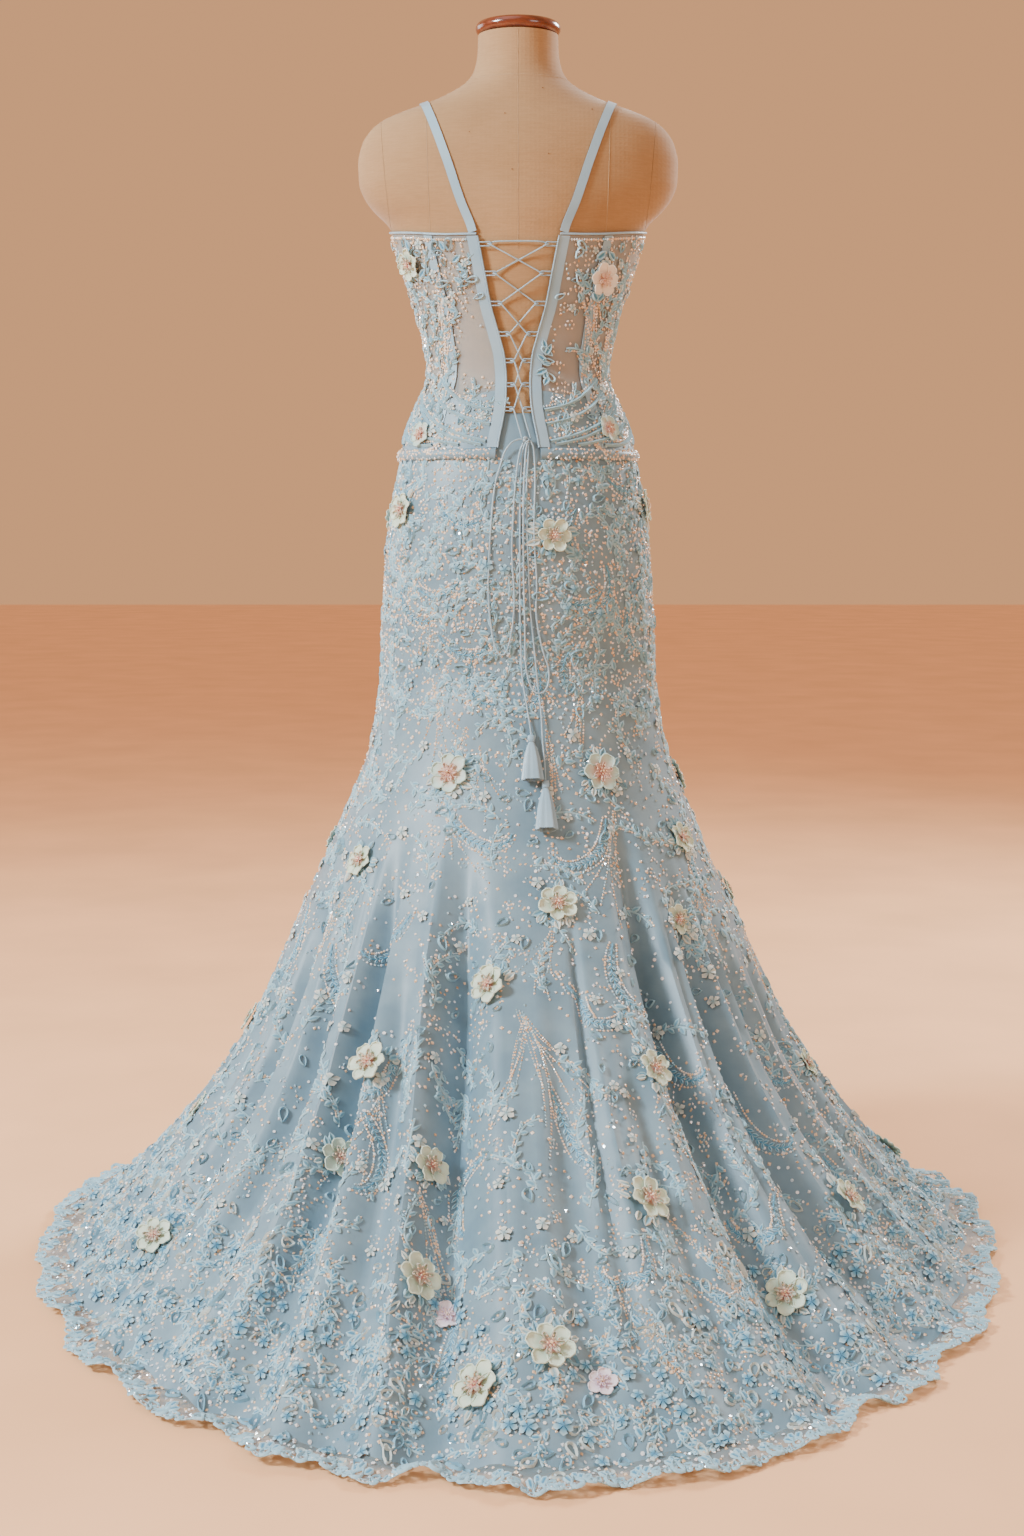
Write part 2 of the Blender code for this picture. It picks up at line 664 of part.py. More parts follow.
def shoulder_strap(name, side, torso_tree):
    """A flat ribbon that lies on the form. Its ends are cut level, along the corset's top edge."""
    line = through([(side * x, y, z) for x, y, z in STRAP_ROUTE], STRAP_STEP)
    outer, inner = [], []
    for i, place in enumerate(line):
        along = (line[min(i + 1, len(line) - 1)] - line[max(i - 1, 0)]).normalized()
        outward = torso_tree.find_nearest(place)[1]
        across = along.cross(outward).normalized() * STRAP_WIDTH / 2
        spread = (-1, -0.5, 0, 0.5, 1)
        highest = max(
            height_over(torso_tree, place + across * a + along * STRAP_STEP * b, outward) or 0
            for a in spread for b in spread
        )
        base = [place + across * share + outward * (highest + STRAP_CLEAR) for share in (-1, 1)]
        if i in (0, len(line) - 1):
            base = [p + along * (place.z - p.z) / along.z for p in base]
            outward = (outward - along * outward.z / along.z).normalized()
        inner.append([tuple(p) for p in base])
        outer.append([tuple(p + outward * STRAP_WALL) for p in base])
    return wall(name, np.array(outer), np.array(inner), SATIN)


def corset(torso):
    lines, back_seam, front_seam = corset_lines()
    inner, outer = corset_face(lines, 0), corset_face(lines, CORSET_WALL)
    for name, first, last in (("corset_back", 0, back_seam), ("corset_side", back_seam, front_seam)):
        piece = slice(first, last + 1)
        both_sides(name, drawn_in(outer[:, piece]), drawn_in(inner[:, piece]), NET)
    left_front = slice(front_seam, None)
    front_outer, front_inner = (mirrored_on(face[:, left_front]) for face in (outer, inner))
    wall("corset_front", drawn_in(front_outer), drawn_in(front_inner), NET)
    for name, first, last, thickness in (
        ("placket", 0, 1, PLACKET_WALL),
        ("casing_back", back_seam - 1, back_seam + 1, CASING_WALL),
        ("casing_front", front_seam - 1, front_seam + 1, CASING_WALL),
    ):
        strip = lines[first:last + 1]
        lift = CORSET_WALL + STRIP_GAP
        both_sides(name, corset_face(strip, lift + thickness), corset_face(strip, lift), SATIN)
    band_round_corset("corset_hem_band", lines, lambda turn: CORSET_HEM, CORSET_HEM_HALF, CORSET_HEM_THICK, LACE)
    rise = BINDING_HALF + SEAM_GAP
    band_round_corset(
        "corset_top_binding", lines, lambda turn: corset_top(turn) + rise, BINDING_HALF, BINDING_THICK, SATIN
    )
    tree = surface_tree([torso])
    shoulder_strap("strap_left", 1, tree)
    shoulder_strap("strap_right", -1, tree)


# ---------------------------------------------------------------- lacing

LOOP_LIFT = 3.2 * MM         # of the loops' middle, above the corset's inner face
LACE_STEP = 2.1 * MM         # from a loop's middle to the lace over or under it
CROSSING_SPREAD = 1.3 * MM


def loop_tip(height, length):
    """How far from the centre back a loop's turn starts."""
    return float(OPENING("half_gap", height)) - PIPING_RADIUS - length + LOOP_HALF_WIDTH


def loop_tape(name, side):
    """Piping down one edge of the opening, with the rouleau loops that the lace runs through."""
    edge = corset_face([opening_line(-PIPING_RADIUS - SEAM_GAP)], LOOP_LIFT)[:, 0] * (side, 1, 1)
    tape = as_mesh(tube(name, edge, PIPING_RADIUS, SATIN, resolution=1))
    for n, (height, length) in enumerate(LOOPS):
        root = float(OPENING("half_gap", height)) - PIPING_RADIUS
        tip = loop_tip(height, length)
        outline = [(root, LOOP_HALF_WIDTH), (tip, LOOP_HALF_WIDTH)]
        outline += [(tip - LOOP_HALF_WIDTH * math.sin(a), LOOP_HALF_WIDTH * math.cos(a)) for a in (0.9, 2.24)]
        outline += [(tip, -LOOP_HALF_WIDTH), (root, -LOOP_HALF_WIDTH)]
        line = [on_back(side * x, height + z, LOOP_LIFT) for x, z in outline]
        loop = as_helper(as_mesh(tube(f"{name}_loop_{n}", line, LOOP_RADIUS, SATIN, resolution=0)))
        boolean(tape, loop, "UNION")
    return tape


def lace_turn(side, height, length):
    """The lace through one loop, from below: over its turn, down through the eye and back under its turn."""
    tip = loop_tip(height, length)
    arc, eye = tip - LOOP_HALF_WIDTH * 0.95, tip + 1.2 * MM
    return [
        on_back(side * (arc - 1.2 * MM), height - 2.0 * MM, LOOP_LIFT + LACE_STEP),
        on_back(side * (arc + 0.6 * MM), height - 0.6 * MM, LOOP_LIFT + LACE_STEP),
        on_back(side * eye, height, LOOP_LIFT),
        on_back(side * (arc + 0.6 * MM), height + 0.6 * MM, LOOP_LIFT - LACE_STEP),
        on_back(side * (arc - 1.2 * MM), height + 2.0 * MM, LOOP_LIFT - LACE_STEP),
    ]


def lace_half(side):
    """Half of the lace, from the knot up to the top loop, turning at each loop on alternate sides."""
    line = []
    for n, (height, length) in enumerate(reversed(LOOPS)):
        turn = lace_turn(side if n % 2 == 0 else -side, height, length)
        if n:
            line.append((line[-1] + turn[0]) / 2 + Vector((0, CROSSING_SPREAD * side, 0)))
        line += turn
    return line


# Where the hanging strands of the lace run, from the knot down, and back to it on the two bow loops.
BOW_LEFT = (
    (-0.0044, 0.1186, 1.0604), (0.0060, 0.1210, 1.0580), (0.0165, 0.1215, 1.0460), (0.0230, 0.1225, 1.0270),
    (0.0285, 0.1250, 1.0080), (0.0325, 0.1300, 0.9800), (0.0362, 0.1366, 0.9300), (0.0383, 0.1385, 0.8700),
    (0.0350, 0.1392, 0.8250), (0.0295, 0.1400, 0.7970), (0.0220, 0.1405, 0.7860), (0.0140, 0.1406, 0.7930),
    (0.0080, 0.1404, 0.8200), (0.0050, 0.1404, 0.8600), (0.0082, 0.1404, 0.9150), (0.0066, 0.1358, 0.9600),
    (0.0040, 0.1286, 1.0000), (-0.0010, 0.1222, 1.0400), (-0.0060, 0.1210, 1.0552),
)
BOW_RIGHT = (
    (-0.0156, 0.1184, 1.0586), (-0.0188, 0.1188, 1.0520), (-0.0207, 0.1205, 1.0350), (-0.0214, 0.1256, 1.0093),
    (-0.0202, 0.1380, 0.9400), (-0.0235, 0.1394, 0.8800), (-0.0232, 0.1394, 0.8350), (-0.0304, 0.1404, 0.7960),
    (-0.0385, 0.1418, 0.7700), (-0.0390, 0.1440, 0.7520), (-0.0345, 0.1470, 0.7410), (-0.0265, 0.1492, 0.7375),
    (-0.0165, 0.1484, 0.7450), (-0.0095, 0.1452, 0.7740), (-0.0085, 0.1432, 0.8212), (-0.0070, 0.1426, 0.8800),
    (-0.0064, 0.1400, 0.9400), (-0.0070, 0.1312, 1.0000), (-0.0092, 0.1232, 1.0400), (-0.0112, 0.1214, 1.0542),
)
TAIL_LEFT = (
    (-0.0082, 0.1166, 1.0542), (-0.0052, 0.1190, 1.0400), (-0.0028, 0.1268, 1.0000), (-0.0021, 0.1372, 0.9450),
    (-0.0020, 0.1400, 0.9150), (-0.0022, 0.1398, 0.8464), (-0.0034, 0.1406, 0.7960), (-0.0051, 0.1430, 0.7582),
    (-0.0110, 0.1524, 0.7207), (-0.0164, 0.1628, 0.6870),
)
TAIL_RIGHT = (
    (-0.0130, 0.1166, 1.0542), (-0.0130, 0.1186, 1.0400), (-0.0108, 0.1266, 1.0000), (-0.0112, 0.1380, 0.9400),
    (-0.0130, 0.1394, 0.8967), (-0.0152, 0.1394, 0.8464), (-0.0203, 0.1404, 0.7960), (-0.0253, 0.1446, 0.7457),
    (-0.0291, 0.1546, 0.7131), (-0.0309, 0.1640, 0.6791), (-0.0335, 0.1728, 0.6520), (-0.0345, 0.1822, 0.6300),
)
TAIL_RADIUS = 1.1 * MM
TAIL_STEP = 0.018
# The two satin bells: where the tail enters the head, and the middle of the bell's mouth.
TASSEL_LEFT = (-0.0164, 0.1632, 0.6865), (-0.0180, 0.1880, 0.6310)
TASSEL_RIGHT = (-0.0345, 0.1826, 0.6295), (-0.0355, 0.2200, 0.5720)
TASSEL_FLATNESS = 0.6        # depth to width
TASSEL_SHAPE = (
    # share of the length from the head, radius
    (0.0, 0.0022), (0.05, 0.0046), (0.11, 0.0046), (0.16, 0.0034), (0.26, 0.0056), (0.50, 0.0088),
    (0.76, 0.0113), (1.0, 0.0130),
)


def tassel(name, head, mouth):
    """A bell of satin under a bound head, open at the bottom and flattened against the skirt."""
    head, mouth = Vector(head), Vector(mouth)
    length = (head - mouth).length
    shape = [(r, -share * length) for share, r in TASSEL_SHAPE]
    inside = [(r - 1.2 * MM, z) for r, z in shape[:3:-1]]
    bell = turned(name, [(0, 0), *shape, *inside, (0, inside[-1][1] + 2 * MM)], 10, SATIN)
    up = (head - mouth).normalized()
    side = up.cross(Vector((0, 1, 0))).normalized()
    turn = Matrix((side, up.cross(side), up)).transposed().to_4x4()
    flat = Matrix.Diagonal((1, TASSEL_FLATNESS, 1, 1))
    bell.matrix_world = Matrix.Translation(head) @ turn @ flat
    return bell


def lacing():
    """One lace, up from the knot, across between the top loops and down again, and its hanging ends."""
    up, down = lace_half(1), lace_half(-1)
    top = [on_back(x, LOOPS[0][0] + 3.0 * MM, LOOP_LIFT - 1.2 * MM) for x in (0.020, -0.020)]
    ends = [Vector(KNOT) + Vector((side * (KNOT_RADIUS + LACE_RADIUS), -1.0 * MM, 3 * MM)) for side in (1, -1)]
    tube("lacing", [ends[0]] + up + top + down[::-1] + [ends[1]], LACE_RADIUS, SATIN_CORD, resolution=1)
    mesh = bpy.data.meshes.new("lace_knot")
    shape = bmesh.new()
    bmesh.ops.create_uvsphere(shape, u_segments=10, v_segments=6, radius=KNOT_RADIUS)
    shape.to_mesh(mesh)
    shape.free()
    mesh.shade_smooth()
    add_object("lace_knot", mesh, SATIN_CORD).location = KNOT
    for name, route in (
        ("bow_left", BOW_LEFT), ("bow_right", BOW_RIGHT), ("tail_left", TAIL_LEFT), ("tail_right", TAIL_RIGHT),
    ):
        tube(name, through(route, TAIL_STEP), TAIL_RADIUS, SATIN_CORD)
    tassel("tassel_left", *TASSEL_LEFT)
    tassel("tassel_right", *TASSEL_RIGHT)


# ---------------------------------------------------------------- the skirt

SKIRT_HEIGHTS = (
    1.093, 1.035, 0.93, 0.84, 0.765, 0.70, 0.62, 0.54, 0.45, 0.36, 0.27, 0.18, 0.09, 0.0,
)
GORES = (
    # name, first and last turn at the hem
    ("skirt_back_left", 0, 38.5),
    ("skirt_side_back_left", 38.5, 93),
    ("skirt_side_front_left", 93, 136.5),
    ("skirt_front", 136.5, 223),
    ("skirt_side_front_right", -137, -94.5),
    ("skirt_side_back_right", -94.5, -44),
    ("skirt_back_right", -44, 0),
)
LEAST_STEP = 1.6             # degrees between two columns
DEEP_FOLD = 0.045            # a fold this deep gets a column on each of its slopes too


def gore_columns(first, last):
    """Hem turns of a gore's columns: its seams, and the middle, slopes and edges of each of its folds."""
    wanted = []
    for centre, _, _, half_width, depth in FOLDS:
        for across in (0, -0.45, 0.45, -1, 1) if depth > DEEP_FOLD else (0, -0.95, 0.95):
            at = first + (centre + across * half_width - first) % 360
            if first + LEAST_STEP < at < last - LEAST_STEP:
                wanted.append((abs(across), at))
    kept = [first, last]
    for _, at in sorted(wanted):
        if min(abs(at - other) for other in kept) > LEAST_STEP:
            kept.append(at)
    return np.array(sorted(kept), float)


def skirt_gore(name, first, last):
    """One panel of the skirt. Its hem stands on the floor, and its inner face never goes under it."""
    columns = gore_columns(first, last)
    turns, heights = np.meshgrid(columns, SKIRT_HEIGHTS)
    outer = skirt_point(turns, heights)
    inner = outer - normals(skirt_point, turns, heights) * SKIRT_WALL
    inner[..., 2] = np.maximum(inner[..., 2], 0)
    outer[-1, :, 2] = np.maximum(outer[-1, :, 2], inner[-1, :, 2] + SKIRT_WALL / 2)
    wall(name, drawn_in(outer), drawn_in(inner), SATIN)
    return columns, outer[-1]


def lace_hem(name, columns, edge):
    """The scalloped lace that runs on from a gore's hem over the floor, in soft waves."""
    first, last = columns[0], columns[-1]
    steps = 2 * max(1, round((last - first) / 360 * SCALLOPS))
    at = np.linspace(first, last, steps + 1)
    sewn = np.stack([np.interp(at, columns, edge[:, axis]) for axis in range(3)], axis=-1)
    out = np.stack([np.sin(np.radians(at)), np.cos(np.radians(at)), np.zeros(len(at))], axis=-1)
    peak = np.arange(len(at)) % 2
    reach = LACE_HEM_WIDTH - SCALLOP_DEPTH * (1 - peak)
    unevenness = 2 * np.sin(np.radians(at) * HEM_WAVES / 4)
    wave = 0.5 + 0.5 * np.sin(np.radians(at) * HEM_WAVES + unevenness)
    sewn = sewn + out * 2 * SEAM_GAP
    free = sewn + out * reach[:, None]
    free[:, 2] = LACE_WALL + HEM_WAVE_HEIGHT * wave
    outer = np.stack([sewn, free])
    outer[..., 2] = np.maximum(outer[..., 2], LACE_WALL)
    inner = outer - np.array([0, 0, LACE_WALL])
    wall(name, drawn_in(outer), drawn_in(inner), LACE)


def skirt():
    for name, first, last in GORES:
        columns, edge = skirt_gore(name, first, last)
        lace_hem(name.replace("skirt", "hem_lace"), columns, edge)


# ---------------------------------------------------------------- the largest sewn-on flowers

FLOWERS = (
    # name, turn (at the hem, on the skirt), height, radius
    ("flower_top_left", 64, 1.288, 0.023),
    ("flower_top_right", -47, 1.267, 0.023),
    ("flower_hip_left", 60, 0.970, 0.023),
    ("flower_knee_left", 16, 0.635, 0.028),
    ("flower_knee_right", -34.5, 0.635, 0.028),
    ("flower_high_left", 48, 0.520, 0.023),
    ("flower_high_middle", -11.5, 0.485, 0.026),
    ("flower_high_right", -64, 0.545, 0.023),
    ("flower_middle", 2, 0.400, 0.025),
    ("flower_low_left", 24.5, 0.315, 0.025),
    ("flower_low_right", -29.5, 0.310, 0.024),
    ("flower_train_left", 12, 0.135, 0.027),
    ("flower_train_right", -21.5, 0.200, 0.027),
)
FLOWER_SPREAD = 2.0          # degrees to either side over which a flower's axis is the cloth's mean normal
PETALS = 5
FLOWER_BASE = 0.35           # shares of a flower's radius: its foot on the cloth and its petals' notches
PETAL_NOTCH = 0.62
PETAL_RISE, CROWN_RISE, BUD_RISE = 0.16, 0.20, 0.30


def flower_points():
    """A flower of that many round petals and radius 1: foot, petal rims (notch, two tips), crown and bud."""
    notches = np.arange(PETALS) * 360 / PETALS
    foot = [(*oval(a, FLOWER_BASE, FLOWER_BASE, FLOWER_BASE), 0) for a in notches]
    crown = [(x, y, CROWN_RISE) for x, y, _ in foot]
    rim = []
    for a in notches:
        for beside, reach in ((0, PETAL_NOTCH), (0.3, 1.0), (0.7, 1.0)):
            rim.append((*oval(a + beside * 360 / PETALS, reach, reach, reach), PETAL_RISE))
    return np.array(foot + rim + crown + [(0, 0, BUD_RISE)], float)


def finer_ring(ring, times):
    """A closed ring of points with that many for each one it had."""
    after = np.roll(ring, -1, axis=0)
    return np.stack([ring + (after - ring) * i / times for i in range(times)], axis=1).reshape(-1, 3)


def under_flower():
    """Points spread over a flower's underside, radius 1."""
    points = flower_points()
    foot, rim = finer_ring(points[:PETALS], 12), finer_ring(points[PETALS:PETALS * 4], 4)
    inside = [foot * share for share in np.linspace(0, 1, 5)]
    return np.concatenate(inside + [foot + (rim - foot) * share for share in np.linspace(0, 1, 8)])


def flower_faces():
    rim, crown, bud = PETALS, PETALS * 4, PETALS * 5
    faces = [tuple(range(PETALS))]
    for k in range(PETALS):
        after = (k + 1) % PETALS
        notch, tip, next_notch = rim + 3 * k, rim + 3 * k + 1, rim + 3 * after
        for ring in (0, crown):
            faces.append((ring + k, notch, tip))
            faces.append((ring + k, tip, tip + 1, ring + after))
            faces.append((ring + after, tip + 1, next_notch))
        faces.append((crown + k, crown + after, bud))
    return faces


def seated_flower(name, place, outward, radius, cloth):
    """A flower moved out from the cloth along its axis until its foot and petals just clear it."""
    side = Vector((0, 0, 1)).cross(outward).normalized()
    up = outward.cross(side)
    heights = []
    for x, y, z in under_flower() * radius:
        height = height_over(cloth, place + side * x + up * y, outward)
        if height is not None:
            heights.append(height - z)
    foot = place + outward * (max(heights) + SEAM_GAP)
    points = [foot + side * x + up * y + outward * z for x, y, z in flower_points() * radius]
    add_object(name, mesh_from(name, points, flower_faces(), smooth=False), FLOWER)


def flowers():
    cloth = [made for made in PARTS.objects if made.name.startswith(("corset_", "casing_", "skirt_"))]
    tree = surface_tree(cloth)
    for name, turn, height, radius in FLOWERS:
        on_corset = height > SKIRT_TOP
        surface = (lambda u, z: corset_point(u, z, CORSET_WALL)) if on_corset else skirt_point
        place = Vector(surface(turn, height))
        around = turn + np.array([-FLOWER_SPREAD, 0, FLOWER_SPREAD])
        outward = Vector(normals(surface, around, np.full(len(around), height)).mean(axis=0)).normalized()
        seated_flower(name, place, outward, radius, tree)


# ---------------------------------------------------------------- scene set-up

for thing in list(bpy.data.objects):
    bpy.data.objects.remove(thing)
PARTS = bpy.data.collections.new("mermaid_gown_on_dress_form")
HELPERS = bpy.data.collections.new("helpers")
for collection in (PARTS, HELPERS):
    bpy.context.scene.collection.children.link(collection)

CANVAS = material("canvas", (0.66, 0.52, 0.33), 0.85)
WOOD = material("wood", (0.16, 0.045, 0.02), 0.3)
STEEL = material("steel", (0.5, 0.5, 0.5), 0.35, 1.0)
SATIN = material("satin", (0.42, 0.56, 0.66), 0.45)
SATIN_CORD = material("satin_cord", (0.42, 0.58, 0.70), 0.4)
NET = material("net", (0.48, 0.56, 0.60), 0.7)
LACE = material("lace", (0.45, 0.60, 0.70), 0.65)
FLOWER = material("flower", (0.55, 0.68, 0.60), 0.6)

form = dress_form()
stand()
corset(form)
loop_tape("loop_tape_left", 1)
loop_tape("loop_tape_right", -1)
lacing()
skirt()
flowers()
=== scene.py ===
"""The looks of a beaded mermaid gown with a laced corset back, worn by a limbless dress form.

Metres, +Z up. The gown's front faces -Y, its laced back +Y, and +X is the wearer's left.
Cloth is worked out by section functions of (turn, height): turn is the angle in degrees round the body,
0 at the centre back, 90 at the wearer's left side and 180 at the centre front.
"""

import math

import bmesh
import bpy
import numpy as np
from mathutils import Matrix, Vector
from mathutils.bvhtree import BVHTree


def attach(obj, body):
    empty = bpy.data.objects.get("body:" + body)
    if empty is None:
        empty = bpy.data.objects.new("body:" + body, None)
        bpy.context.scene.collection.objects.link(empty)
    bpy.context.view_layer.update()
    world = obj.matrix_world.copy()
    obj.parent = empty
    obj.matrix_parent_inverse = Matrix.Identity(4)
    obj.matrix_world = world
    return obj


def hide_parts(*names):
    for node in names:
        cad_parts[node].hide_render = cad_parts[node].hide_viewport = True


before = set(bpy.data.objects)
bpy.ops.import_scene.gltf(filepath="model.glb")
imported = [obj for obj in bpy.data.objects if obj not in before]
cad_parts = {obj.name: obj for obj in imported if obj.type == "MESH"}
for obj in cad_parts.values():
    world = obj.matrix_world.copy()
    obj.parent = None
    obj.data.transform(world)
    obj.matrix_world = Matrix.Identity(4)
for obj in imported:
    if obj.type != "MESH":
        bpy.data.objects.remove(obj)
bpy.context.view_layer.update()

MM = 0.001
RNG = np.random.default_rng(21)

# ---------------------------------------------------------------- camera, light and floor

CAMERA_PLACE = (0.008, 2.87, 0.966)
CAMERA_TILT = 6.8            # degrees down
LENS_MM, SENSOR_MM = 50, 36  # on the picture's long side


def placed(name, data):
    """A new object of the scene."""
    made = bpy.data.objects.new(name, data)
    bpy.context.collection.objects.link(made)
    return made


def camera():
    data = bpy.data.cameras.new("camera")
    data.lens = LENS_MM
    data.sensor_fit = "VERTICAL"
    data.sensor_height = SENSOR_MM
    made = placed("camera", data)
    made.location = CAMERA_PLACE
    made.rotation_euler = (math.radians(90 - CAMERA_TILT), 0, math.pi)
    bpy.context.scene.camera = made


LIGHTS = (
    # name, place, watts, size
    ("key", (2.7, 1.5, 2.6), 205, 0.7), ("fill", (-2.6, 2.8, 1.8), 26, 1.4),
    ("front_key", (-2.4, -2.1, 2.6), 160, 1.0), ("front_fill", (2.7, -1.8, 1.7), 30, 1.5),
)
LIT_PLACE = Vector((0, 0.1, 0.7))            # what the lights are aimed at
LIGHT_COLOUR = (0.94, 0.985, 1.0)
SUN_STRENGTH, SUN_SPREAD = 0.8, 1.0          # a broad soft light from above, for the far floor too
SUN_COLOUR, SUN_LEAN = (0.62, 0.88, 1.0), math.radians(25)
WORLD_COLOUR, WORLD_STRENGTH = (1.0, 0.485, 0.225, 1), 0.80
FLOOR_COLOUR, FLOOR_SIZE, FLOOR_TOP = (0.90, 0.51, 0.26), 40, -0.6 * MM


def studio():
    for name, place, watts, size in LIGHTS:
        data = bpy.data.lights.new(name, "AREA")
        data.energy, data.size, data.color = watts, size, LIGHT_COLOUR
        made = placed(name, data)
        made.location = place
        made.rotation_euler = (LIT_PLACE - Vector(place)).to_track_quat("-Z", "Y").to_euler()
    sun = bpy.data.lights.new("soft_top", "SUN")
    sun.energy, sun.angle, sun.color = SUN_STRENGTH, SUN_SPREAD, SUN_COLOUR
    placed("soft_top", sun).rotation_euler = (-SUN_LEAN, SUN_LEAN, 0)
    world = bpy.data.worlds.new("studio")
    bpy.context.scene.world = world
    world.use_nodes = True
    background = world.node_tree.nodes["Background"]
    background.inputs["Color"].default_value = WORLD_COLOUR
    background.inputs["Strength"].default_value = WORLD_STRENGTH
    bpy.ops.mesh.primitive_plane_add(size=FLOOR_SIZE, location=(0, 0, FLOOR_TOP))
    floor = bpy.context.object
    floor.name = "floor"
    floor.data.materials.append(plain_finish("floor_paper", FLOOR_COLOUR, 0.8))


# ---------------------------------------------------------------- materials

def node(tree, kind, **values):
    """A new shader node, with some of its inputs or settings."""
    made = tree.nodes.new(kind)
    for name, value in values.items():
        if name in made.inputs:
            made.inputs[name].default_value = value
        else:
            setattr(made, name, value)
    return made


def new_material(name, roughness=0.5, metallic=0.0, **sockets):
    """A material, its node tree and its shader; sockets set single values on the shader."""
    made = bpy.data.materials.new(name)
    made.use_nodes = True
    tree = made.node_tree
    shader = tree.nodes["Principled BSDF"]
    shader.inputs["Roughness"].default_value = roughness
    shader.inputs["Metallic"].default_value = metallic
    for socket, value in sockets.items():
        shader.inputs[socket.replace("_", " ")].default_value = value
    return made, tree, shader


def ramp(tree, source, *stops):
    """Colours by a value from 0 to 1: stops of (place, colour)."""
    made = tree.nodes.new("ShaderNodeValToRGB")
    elements = made.color_ramp.elements
    while len(elements) < len(stops):
        elements.new(0.5)
    for element, (place, colour) in zip(elements, stops):
        element.position = place
        element.color = (*colour, 1)
    tree.links.new(source, made.inputs["Fac"])
    return made.outputs["Color"]


def noise(tree, scale, detail=3.0, stretch=(1, 1, 1)):
    """Noise in the object's own space, in features per metre."""
    place = node(tree, "ShaderNodeTexCoord").outputs["Object"]
    mapped = node(tree, "ShaderNodeMapping", Scale=stretch)
    tree.links.new(place, mapped.inputs["Vector"])
    made = node(tree, "ShaderNodeTexNoise", Scale=scale, Detail=detail)
    tree.links.new(mapped.outputs["Vector"], made.inputs["Vector"])
    return made.outputs["Fac"]


def weave(tree, threads):
    """Crossed fine waves, as threads per metre across and along."""
    place = node(tree, "ShaderNodeTexCoord").outputs["Object"]
    both = node(tree, "ShaderNodeMath", operation="MAXIMUM")
    for direction, socket in zip("XZ", both.inputs):
        wave = node(tree, "ShaderNodeTexWave", bands_direction=direction, Scale=threads / 20, Distortion=0.6)
        tree.links.new(place, wave.inputs["Vector"])
        tree.links.new(wave.outputs["Fac"], socket)
    return both.outputs["Value"]


def bump(tree, shader, height, distance, strength=0.5):
    made = node(tree, "ShaderNodeBump", Distance=distance, Strength=strength)
    tree.links.new(height, made.inputs["Height"])
    tree.links.new(made.outputs["Normal"], shader.inputs["Normal"])


def plain_finish(name, colour, roughness, spread=0.06):
    """A matt finish whose colour drifts a little."""
    made, tree, shader = new_material(name, roughness)
    low, high = (tuple(c * (1 + s * spread) for c in colour) for s in (-1, 1))
    tree.links.new(ramp(tree, noise(tree, 3.0), (0.3, low), (0.7, high)), shader.inputs["Base Color"])
    return made


def cloth_finish(name, low, high, roughness, threads, bump_mm=0.15, patches=22, **sockets):
    """Cloth: colour drifting between two tones in soft patches, with a woven bump."""
    made, tree, shader = new_material(name, roughness, **sockets)
    tree.links.new(ramp(tree, noise(tree, patches), (0.32, low), (0.68, high)), shader.inputs["Base Color"])
    bump(tree, shader, weave(tree, threads), bump_mm * MM)
    return made


TONES_PER_METRE = 260        # about one tone to a bead


def glitter_finish(name, tones, roughness, metallic, coat):
    """Beads or sequins: small lumps that take one of a few tones each."""
    made, tree, shader = new_material(name, roughness, metallic, Coat_Weight=coat)
    place = node(tree, "ShaderNodeTexCoord").outputs["Object"]
    cells = node(tree, "ShaderNodeTexVoronoi", Scale=TONES_PER_METRE)
    tree.links.new(place, cells.inputs["Vector"])
    split = node(tree, "ShaderNodeSeparateColor")
    tree.links.new(cells.outputs["Color"], split.inputs["Color"])
    stops = [(i / (len(tones) - 1), tone) for i, tone in enumerate(tones)]
    tree.links.new(ramp(tree, split.outputs["Red"], *stops), shader.inputs["Base Color"])
    return made


def reach_finish(name, heart, middle, rim, stops=(0.10, 0.42, 0.80), roughness=0.6):
    """Petals and leaves: tinted from their hearts to their rims by the mesh's own 'reach' value."""
    made, tree, shader = new_material(name, roughness, Sheen_Weight=0.15)
    reach = node(tree, "ShaderNodeAttribute", attribute_name="reach")
    tinted = ramp(tree, reach.outputs["Fac"], *zip(stops, (heart, middle, rim)))
    tree.links.new(tinted, shader.inputs["Base Color"])
    bump(tree, shader, noise(tree, 900, 2.0), 0.25 * MM, 0.6)
    return made


def wood_finish(name):
    made, tree, shader = new_material(name, 0.22, Coat_Weight=0.6, Coat_Roughness=0.12)
    grain = noise(tree, 26, 6.0, (1, 6, 14))
    stops = (0.30, (0.075, 0.014, 0.006)), (0.62, (0.17, 0.038, 0.016)), (0.8, (0.24, 0.06, 0.026))
    tinted = ramp(tree, grain, *stops)
    tree.links.new(tinted, shader.inputs["Base Color"])
    bump(tree, shader, grain, 0.1 * MM, 0.2)
    return made


def canvas_finish(name):
    """The form's cover: tan plain weave with slubs and a few faint stains."""
    made, tree, shader = new_material(name, 0.88, Sheen_Weight=0.2)
    stains = ramp(tree, noise(tree, 7, 5.0), (0.28, (0.325, 0.200, 0.090)), (0.72, (0.41, 0.265, 0.130)))
    slubs = ramp(tree, noise(tree, 60, 2.0, (1, 1, 14)), (0.42, (0.86, 0.84, 0.80)), (0.6, (1, 1, 1)))
    mixed = node(tree, "ShaderNodeMix", data_type="RGBA", blend_type="MULTIPLY")
    mixed.inputs[0].default_value = 0.5
    tree.links.new(stains, mixed.inputs[6])
    tree.links.new(slubs, mixed.inputs[7])
    tree.links.new(mixed.outputs[2], shader.inputs["Base Color"])
    bump(tree, shader, weave(tree, 1100), 0.2 * MM, 0.6)
    return made


LACE_STOPS = (0.0, 0.4, 0.9)


